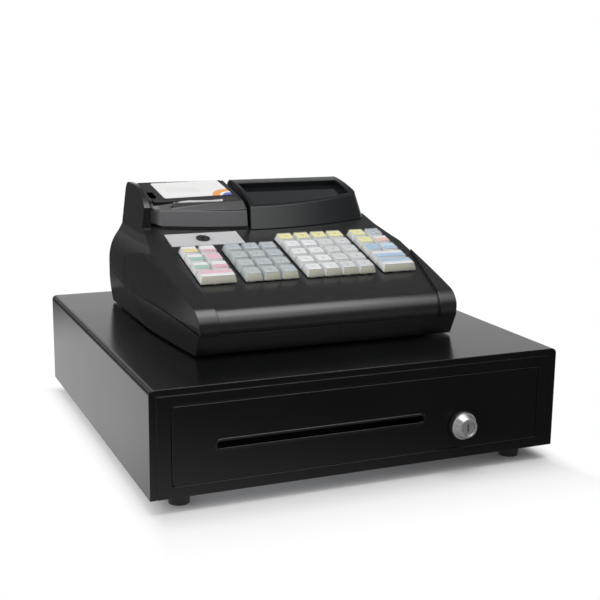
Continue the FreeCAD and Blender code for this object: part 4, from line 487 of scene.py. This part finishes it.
keys = {
    "pitch": 0.0193, "firstX": -0.1046, "firstRow": 0.0136, "blockGap": 0.0082, "columns": (2, 3, 4, 2),
    "base": 0.0187, "topWidth": 0.0152, "topDepth": 0.0136, "topShift": 0.0009,
    "low": 0.0007, "knee": 0.0023, "rise": 0.0092, "soft": 0.0007, "dish": 0.0003, "dishMargin": 0.0011,
    "clearance": 0.0006, "coreTop": 0.0079, "stem": 0.007, "stemReach": 0.008,
    "cardMargin": 0.0003, "cardSheet": 0.00025, "legendSize": 0.0046, "legendSheet": 0.00006,
    "longLegend": 0.8, "legendCurves": 3, "capSegments": 3, "seam": 0.0003, "coreSoft": 0.0004,
    "stemSoft": 0.0003, "stemOverlap": 0.0006, "slipSink": 0.0001, "upward": 0.9, "flatTop": 0.99,
    "frontward": -0.6, "softShare": 0.01,
}
leftBlock, numberBlock, departmentBlock, rightBlock = range(len(keys["columns"]))
nearRow = 4  # the row nearest the operator


def columnX(block, column):
    before = sum(keys["columns"][:block]) + column
    return keys["firstX"] + keys["pitch"] * before + keys["blockGap"] * block


def rowAlong(row):
    return keys["firstRow"] - keys["pitch"] * row


def widening(span):  # what a wide key has more on each side
    return keys["pitch"] / 2 * (span - 1)


def tapered(name, halfX, halfY, low, knee, high, topX, topY, shift):
    piece = slab(name, (-halfX, -halfY, low), (halfX, halfY, knee))
    pick(piece, lambda face: face.normal.z > keys["upward"])
    bpy.ops.mesh.extrude_region_move(TRANSFORM_OT_translate={"value": (0, shift, high - knee)})
    bpy.ops.transform.resize(value=(topX / halfX, topY / halfY, 1))
    bpy.ops.object.mode_set(mode="OBJECT")
    return piece


def clearCap(span):
    extra = widening(span)
    half = keys["base"] / 2
    piece = tapered("cap", half + extra, half, keys["low"], keys["knee"], keys["rise"],
                    keys["topWidth"] / 2 + extra, keys["topDepth"] / 2, keys["topShift"])
    soften(piece, keys["soft"], keys["capSegments"])
    highest = keys["rise"] - keys["soft"] * keys["softShare"]
    pick(piece, lambda face: face.normal.z > keys["flatTop"] and face.center.z > highest)
    bpy.ops.mesh.inset(thickness=keys["dishMargin"], depth=-keys["dish"])
    bpy.ops.object.mode_set(mode="OBJECT")
    return piece


def keyCore(span, finish, frontFinish):
    extra = widening(span)
    gap = keys["clearance"]
    half = keys["base"] / 2 - gap
    piece = tapered("core", half + extra, half, keys["low"] + keys["seam"], keys["knee"], keys["coreTop"],
                    keys["topWidth"] / 2 + extra - gap, keys["topDepth"] / 2 - gap, keys["topShift"])
    soften(piece, keys["coreSoft"])
    for material in (finish, frontFinish):
        piece.data.materials.append(material)
    for face in piece.data.polygons:
        face.material_index = 1 if face.normal.y < keys["frontward"] else 0
    stem = slab("stem", (-keys["stem"] / 2, -keys["stem"] / 2, -keys["stemReach"]),
                (keys["stem"] / 2, keys["stem"] / 2, keys["low"] + keys["stemOverlap"]))
    soften(stem, keys["stemSoft"], 1)
    paintAll(stem, finish)
    return joined("core", [piece, stem])


def cardSlip(span, materials, share):
    # the part of the slip nearest the operator takes the second colour
    extra = widening(span)
    halfX = keys["topWidth"] / 2 + extra - keys["cardMargin"]
    halfY = keys["topDepth"] / 2 - keys["cardMargin"]
    piece = slab("slip", (-halfX, keys["topShift"] - halfY, keys["coreTop"] - keys["slipSink"]),
                 (halfX, keys["topShift"] + halfY, keys["coreTop"] + keys["cardSheet"]))
    for material in materials:
        piece.data.materials.append(material)
    if len(materials) > 1:
        only(piece)
        bpy.ops.object.mode_set(mode="EDIT")
        bpy.ops.mesh.select_all(action="SELECT")
        split = keys["topShift"] - halfY + halfY * 2 * share
        bpy.ops.mesh.bisect(plane_co=(0, split, 0), plane_no=(0, 1, 0))
        bpy.ops.object.mode_set(mode="OBJECT")
        for face in piece.data.polygons:
            if face.center.y < split:
                face.material_index = 1
    return piece


def legend(text, material, size):
    nothingSelected()
    bpy.ops.object.text_add(location=(0, 0, 0))
    piece = bpy.context.object
    piece.data.body = text
    piece.data.size = size
    piece.data.align_x = "CENTER"
    piece.data.align_y = "CENTER"
    piece.data.resolution_u = keys["legendCurves"]
    piece.data.extrude = keys["legendSheet"] / 2
    bpy.ops.object.convert(target="MESH")
    piece = bpy.context.object
    top = keys["coreTop"] + keys["cardSheet"] + keys["legendSheet"] / 2
    piece.data.transform(Matrix.Translation((0, keys["topShift"], top)))
    paintAll(piece, material)
    return piece


clear = {
    "colour": (0.78, 0.8, 0.8), "alpha": 0.3, "clouds": 90.0, "roughness": 0.2, "spread": 0.1, "coat": 0.6,
    "coatRoughness": 0.12, "relief": 0.00004, "strength": 0.3,
}


def clearPlastic():
    shader = Shader("clearCap")
    clouds = shader.noise(shader.place(), clear["clouds"], 3.0)
    return shader.finish(Base_Color=clear["colour"], Alpha=clear["alpha"],
                         Roughness=clear["roughness"] + clouds.spread(clear["spread"]),
                         Coat_Weight=clear["coat"], Coat_Roughness=clear["coatRoughness"],
                         Normal=shader.bump(clouds, clear["relief"], clear["strength"]))


tones = {
    "white": (0.8, 0.8, 0.82), "grey": (0.62, 0.63, 0.64), "yellow": (0.86, 0.8, 0.28),
    "gold": (0.83, 0.66, 0.2), "green": (0.17, 0.47, 0.33), "pink": (0.78, 0.42, 0.52),
    "rose": (0.76, 0.25, 0.36), "slate": (0.36, 0.42, 0.46), "blue": (0.28, 0.5, 0.74),
    "sky": (0.5, 0.68, 0.82), "orange": (0.84, 0.45, 0.34),
}
slipRoughness = 0.4
slips = {name: paper("slip_" + name, colour, slipRoughness) for name, colour in tones.items()}
inkFinish = paper("ink", (0.07, 0.075, 0.12), 0.5)
capFinish = clearPlastic()


def coreMoulding(name, colour):
    return mouldedPlastic(name, {"colour": colour, "roughness": 0.4, "grain": 1500.0, "edge": 0.0003,
                                 "relief": 0.00002})


coreFinishes = {"plain": coreMoulding("keyCore", (0.66, 0.67, 0.66)),
                "slate": coreMoulding("keySlate", (0.34, 0.38, 0.4))}
coreFrontFinish = coreMoulding("keyFront", (0.44, 0.42, 0.29))

caps = {}
for span in (1, 2):
    caps[span] = clearCap(span)
    paintAll(caps[span], capFinish)
cores = {}  # by span, kind and whether it stands in the row nearest the operator
for span, kind in ((1, "plain"), (1, "slate"), (2, "plain")):
    for near in (False, True):
        finish = coreFinishes[kind]
        cores[span, kind, near] = keyCore(span, finish, coreFrontFinish if near else finish)


def keyPiece(node, places):
    # places: x, along, core, colours of the slip, share of the second colour, legend
    parts = []
    for x, along, core, colours, share, text in places:
        span = core[0]
        seat = deckMatrix @ Matrix.Translation((x, along, 0))
        parts += [copied(model, seat) for model in (caps[span], cores[core])]
        made = [cardSlip(span, [slips[c] for c in colours], share)]
        if text:
            shrink = keys["longLegend"] if len(text) > 1 else 1
            made.append(legend(text, inkFinish, keys["legendSize"] * shrink))
        for piece in made:
            piece.data.transform(seat)
        parts += made
    piece = joined(node + "_clear", parts)
    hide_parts(node)
    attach(piece, node + "_body")


def one(block, column, row, colours, share=0.5, text=""):
    core = (1, "slate" if block == numberBlock else "plain", row == nearRow)
    return columnX(block, column), rowAlong(row), core, colours, share, text


def wide(block, row, colours, share, text=""):
    core = (2, "plain", row == nearRow)
    return (columnX(block, 0) + columnX(block, 1)) / 2, rowAlong(row), core, colours, share, text


for number, digit in enumerate(["7", "8", "9", "4", "5", "6", "1", "2", "3", "0", "00", "."]):
    row, column = divmod(number, keys["columns"][numberBlock])
    keyPiece(f"number_key_{number + 1}",
             [one(numberBlock, column, row + 1, ["slate"], text=digit)])
keyPiece("function_keys_left", [
    one(leftBlock, 0, 1, ["white", "gold"], 0.6), one(leftBlock, 1, 1, ["white", "rose"], 0.35),
    one(leftBlock, 0, 2, ["white", "green"]), one(leftBlock, 1, 2, ["pink"]),
    one(leftBlock, 0, 3, ["white", "green"]), one(leftBlock, 1, 3, ["white", "rose"], 0.45)])
keyPiece("wide_key_left", [wide(leftBlock, nearRow, ["pink", "white"], 0.45)])
departments = keys["columns"][departmentBlock]
for column in range(departments):
    rows = []
    for row in range(nearRow + 1):
        tone = "yellow" if row == 0 else "white" if column < departments / 2 else "grey"
        text = str((nearRow - row) * departments + column + 1)
        rows.append(one(departmentBlock, column, row, [tone], text=text))
    keyPiece(f"department_keys_{column + 1}", rows)
keyPiece("function_keys_right", [
    one(rightBlock, 0, 0, ["yellow"], text="%"), one(rightBlock, 1, 0, ["slate"], text="×"),
    one(rightBlock, 0, 1, ["yellow"], text="-"), one(rightBlock, 1, 1, ["white", "orange"], 0.6),
    one(rightBlock, 0, 2, ["blue"], text="+"), one(rightBlock, 1, 2, ["sky", "blue"], 0.45)])
keyPiece("wide_key_upper", [wide(rightBlock, nearRow - 1, ["white", "blue"], 0.55)])
keyPiece("wide_key_lower", [wide(rightBlock, nearRow, ["blue", "white"], 0.5)])
for model in [*caps.values(), *cores.values()]:
    bpy.data.objects.remove(model)
print("keys")

# Printed ticks round the mode lock

ticks = {"x": -0.0768, "along": 0.0356, "radius": 0.0098, "length": 0.0026, "width": 0.0005, "lift": 0.00081,
         "sheet": 0.00006, "angles": (-60, -30, 0, 30, 60, 90)}


def modeTicks():
    marks = []
    for angle in ticks["angles"]:
        mark = slab("tick", (-ticks["width"] / 2, ticks["radius"], ticks["lift"]),
                    (ticks["width"] / 2, ticks["radius"] + ticks["length"], ticks["lift"] + ticks["sheet"]))
        mark.data.transform(deckMatrix @ Matrix.Translation((ticks["x"], ticks["along"], 0))
                            @ Matrix.Rotation(math.radians(-angle), 4, "Z"))
        marks.append(mark)
    piece = joined("mode_ticks", marks)
    paintAll(piece, inkFinish)
    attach(piece, "root")


modeTicks()
print("ticks")


# Stage

studio = {
    "floorReach": 6.0, "floorColour": (0.82, 0.82, 0.82), "frontFade": (0.195, 0.31),
    "sideFade": (0.19, 0.222),
    "overheadPlace": (0.15, -0.15, 1.55), "overheadSize": (1.3, 1.0), "overheadPower": 13.0,
    "leftPlace": (-1.5, -0.55, 0.75), "leftSize": (0.9, 0.9), "leftPower": 15.0,
    "ambient": 0.45, "mirrored": (-0.5, 0.3), "slant": 0.8, "brightest": 0.9, "darkest": 0.05,
    "farLeft": (0.4, 0.75), "farBack": (0.4, 0.8), "farLoss": 0.88, "skyLeft": (-0.1, 0.2),
    "skyLeftLoss": 0.9, "skyRise": (0.05, 0.6), "riseLoss": 0.84, "skyFront": (0.0, 0.8), "frontLoss": 0.6,
    "glowTilt": 20.0, "glowCone": (0.79, 0.88), "glow": 2.7, "white": (1.0, 1.0, 1.0),
}


def seenDirectly(shader):  # by the camera, or by it through something clear
    return shader.maximum(shader.add("LightPath", out="Is Camera Ray"),
                          shader.add("LightPath", out="Is Transmission Ray"))


def stageFloor():
    nothingSelected()
    bpy.ops.mesh.primitive_plane_add(size=studio["floorReach"] * 2, location=(0, 0, 0))
    floor = bpy.context.object
    floor.name = "floor"
    shader = Shader("floorPaper")
    x, y = shader.axes(shader.place())[:2]
    ahead = (0.0 - y).clamped(*studio["frontFade"])
    behind = y.clamped(*studio["sideFade"])
    beside = shader.add("Math", {"operation": "ABSOLUTE"}, {0: x}).clamped(*studio["sideFade"])
    clearOf = shader.maximum(ahead, shader.maximum(behind, beside))
    matt = shader.add("BsdfDiffuse", None, {"Color": studio["floorColour"]})
    glow = shader.add("Emission", None, {"Color": studio["white"], "Strength": 1.0})
    shown = seenDirectly(shader)
    mixed = shader.add("MixShader", None, {0: shown * clearOf, 1: matt, 2: glow})
    # glossy faces see it bright behind on the left and dark in front on the right
    low, high = studio["mirrored"]
    side = (y - x * studio["slant"]).clamped(low, high)
    level = side * (studio["brightest"] - studio["darkest"]) + studio["darkest"]
    far = shader.maximum((0.0 - x).clamped(*studio["farLeft"]), y.clamped(*studio["farBack"]))
    level = level * (1.0 - far * studio["farLoss"])
    mirror = shader.add("Emission", None, {"Color": studio["white"], "Strength": level})
    glossy = shader.add("LightPath", out="Is Glossy Ray")
    mixed = shader.add("MixShader", None, {0: glossy, 1: mixed, 2: mirror})
    floor.data.materials.append(shader.shows(mixed))


def stageLight():
    world = bpy.data.worlds.new("studio")
    bpy.context.scene.world = world
    world.use_nodes = True
    shader = Shader("world", world)
    x, y, z = shader.axes(shader.add("TexCoord", out="Generated"))
    # what glossy faces see: pale low down, dim overhead and in front
    height = z.clamped(*studio["skyRise"])
    front = (0.0 - y).clamped(*studio["skyFront"])
    left = (0.0 - x).clamped(*studio["skyLeft"]) * (1.0 - height)
    glossy = (1.0 - height * studio["riseLoss"]) * (1.0 - front * studio["frontLoss"])
    glossy = glossy * (1.0 - left * studio["skyLeftLoss"])
    # a soft box overhead, a little in front, which the nose and all upper edges mirror
    tilt = math.radians(studio["glowTilt"])
    toBox = z * math.cos(tilt) - y * math.sin(tilt)
    glossy = glossy + toBox.clamped(*studio["glowCone"]) * studio["glow"]
    lit = shader.add("LightPath", out="Is Glossy Ray")
    shown = seenDirectly(shader)
    level = studio["ambient"] * (1.0 - lit) * (1.0 - shown) + glossy * lit + shown
    sky = shader.add("Background", None, {"Color": studio["white"], "Strength": level})
    shader.shows(sky, "OutputWorld")

    for name in ("overhead", "left"):
        lamp = bpy.data.lights.new(name, "AREA")
        lamp.shape = "RECTANGLE"
        lamp.size, lamp.size_y = studio[name + "Size"]
        lamp.energy = studio[name + "Power"]
        holder = bpy.data.objects.new(name, lamp)
        holder.location = studio[name + "Place"]
        if name == "left":
            holder.rotation_euler = Vector(studio["leftPlace"]).to_track_quat("Z", "Y").to_euler()
            holder.visible_glossy = False  # else the flat tops mirror it when seen from the right
        bpy.context.scene.collection.objects.link(holder)


camera = {"place": (-0.4456, -1.08465, 0.3868), "azimuth": -23.153, "elevation": 12.114, "roll": 0.656,
          "lens": 67.69, "sensor": 36, "farClip": 50}


def photoCamera():
    a = math.radians(camera["azimuth"])
    e = math.radians(camera["elevation"])
    r = math.radians(camera["roll"])
    back = Vector((math.sin(a) * math.cos(e), -math.cos(a) * math.cos(e), math.sin(e)))
    right = Vector((math.cos(a), math.sin(a), 0))
    up = back.cross(right)
    turnedRight = math.cos(r) * right + math.sin(r) * up
    turnedUp = -math.sin(r) * right + math.cos(r) * up
    data = bpy.data.cameras.new("camera")
    data.lens = camera["lens"]
    data.sensor_width = camera["sensor"]
    data.clip_end = camera["farClip"]
    holder = bpy.data.objects.new("camera", data)
    turned = Matrix((turnedRight, turnedUp, back)).transposed().to_4x4()
    holder.matrix_world = Matrix.Translation(camera["place"]) @ turned
    bpy.context.scene.collection.objects.link(holder)
    bpy.context.scene.camera = holder
    bpy.context.scene.view_settings.view_transform = "Standard"


stageFloor()
stageLight()
photoCamera()
print("stage")
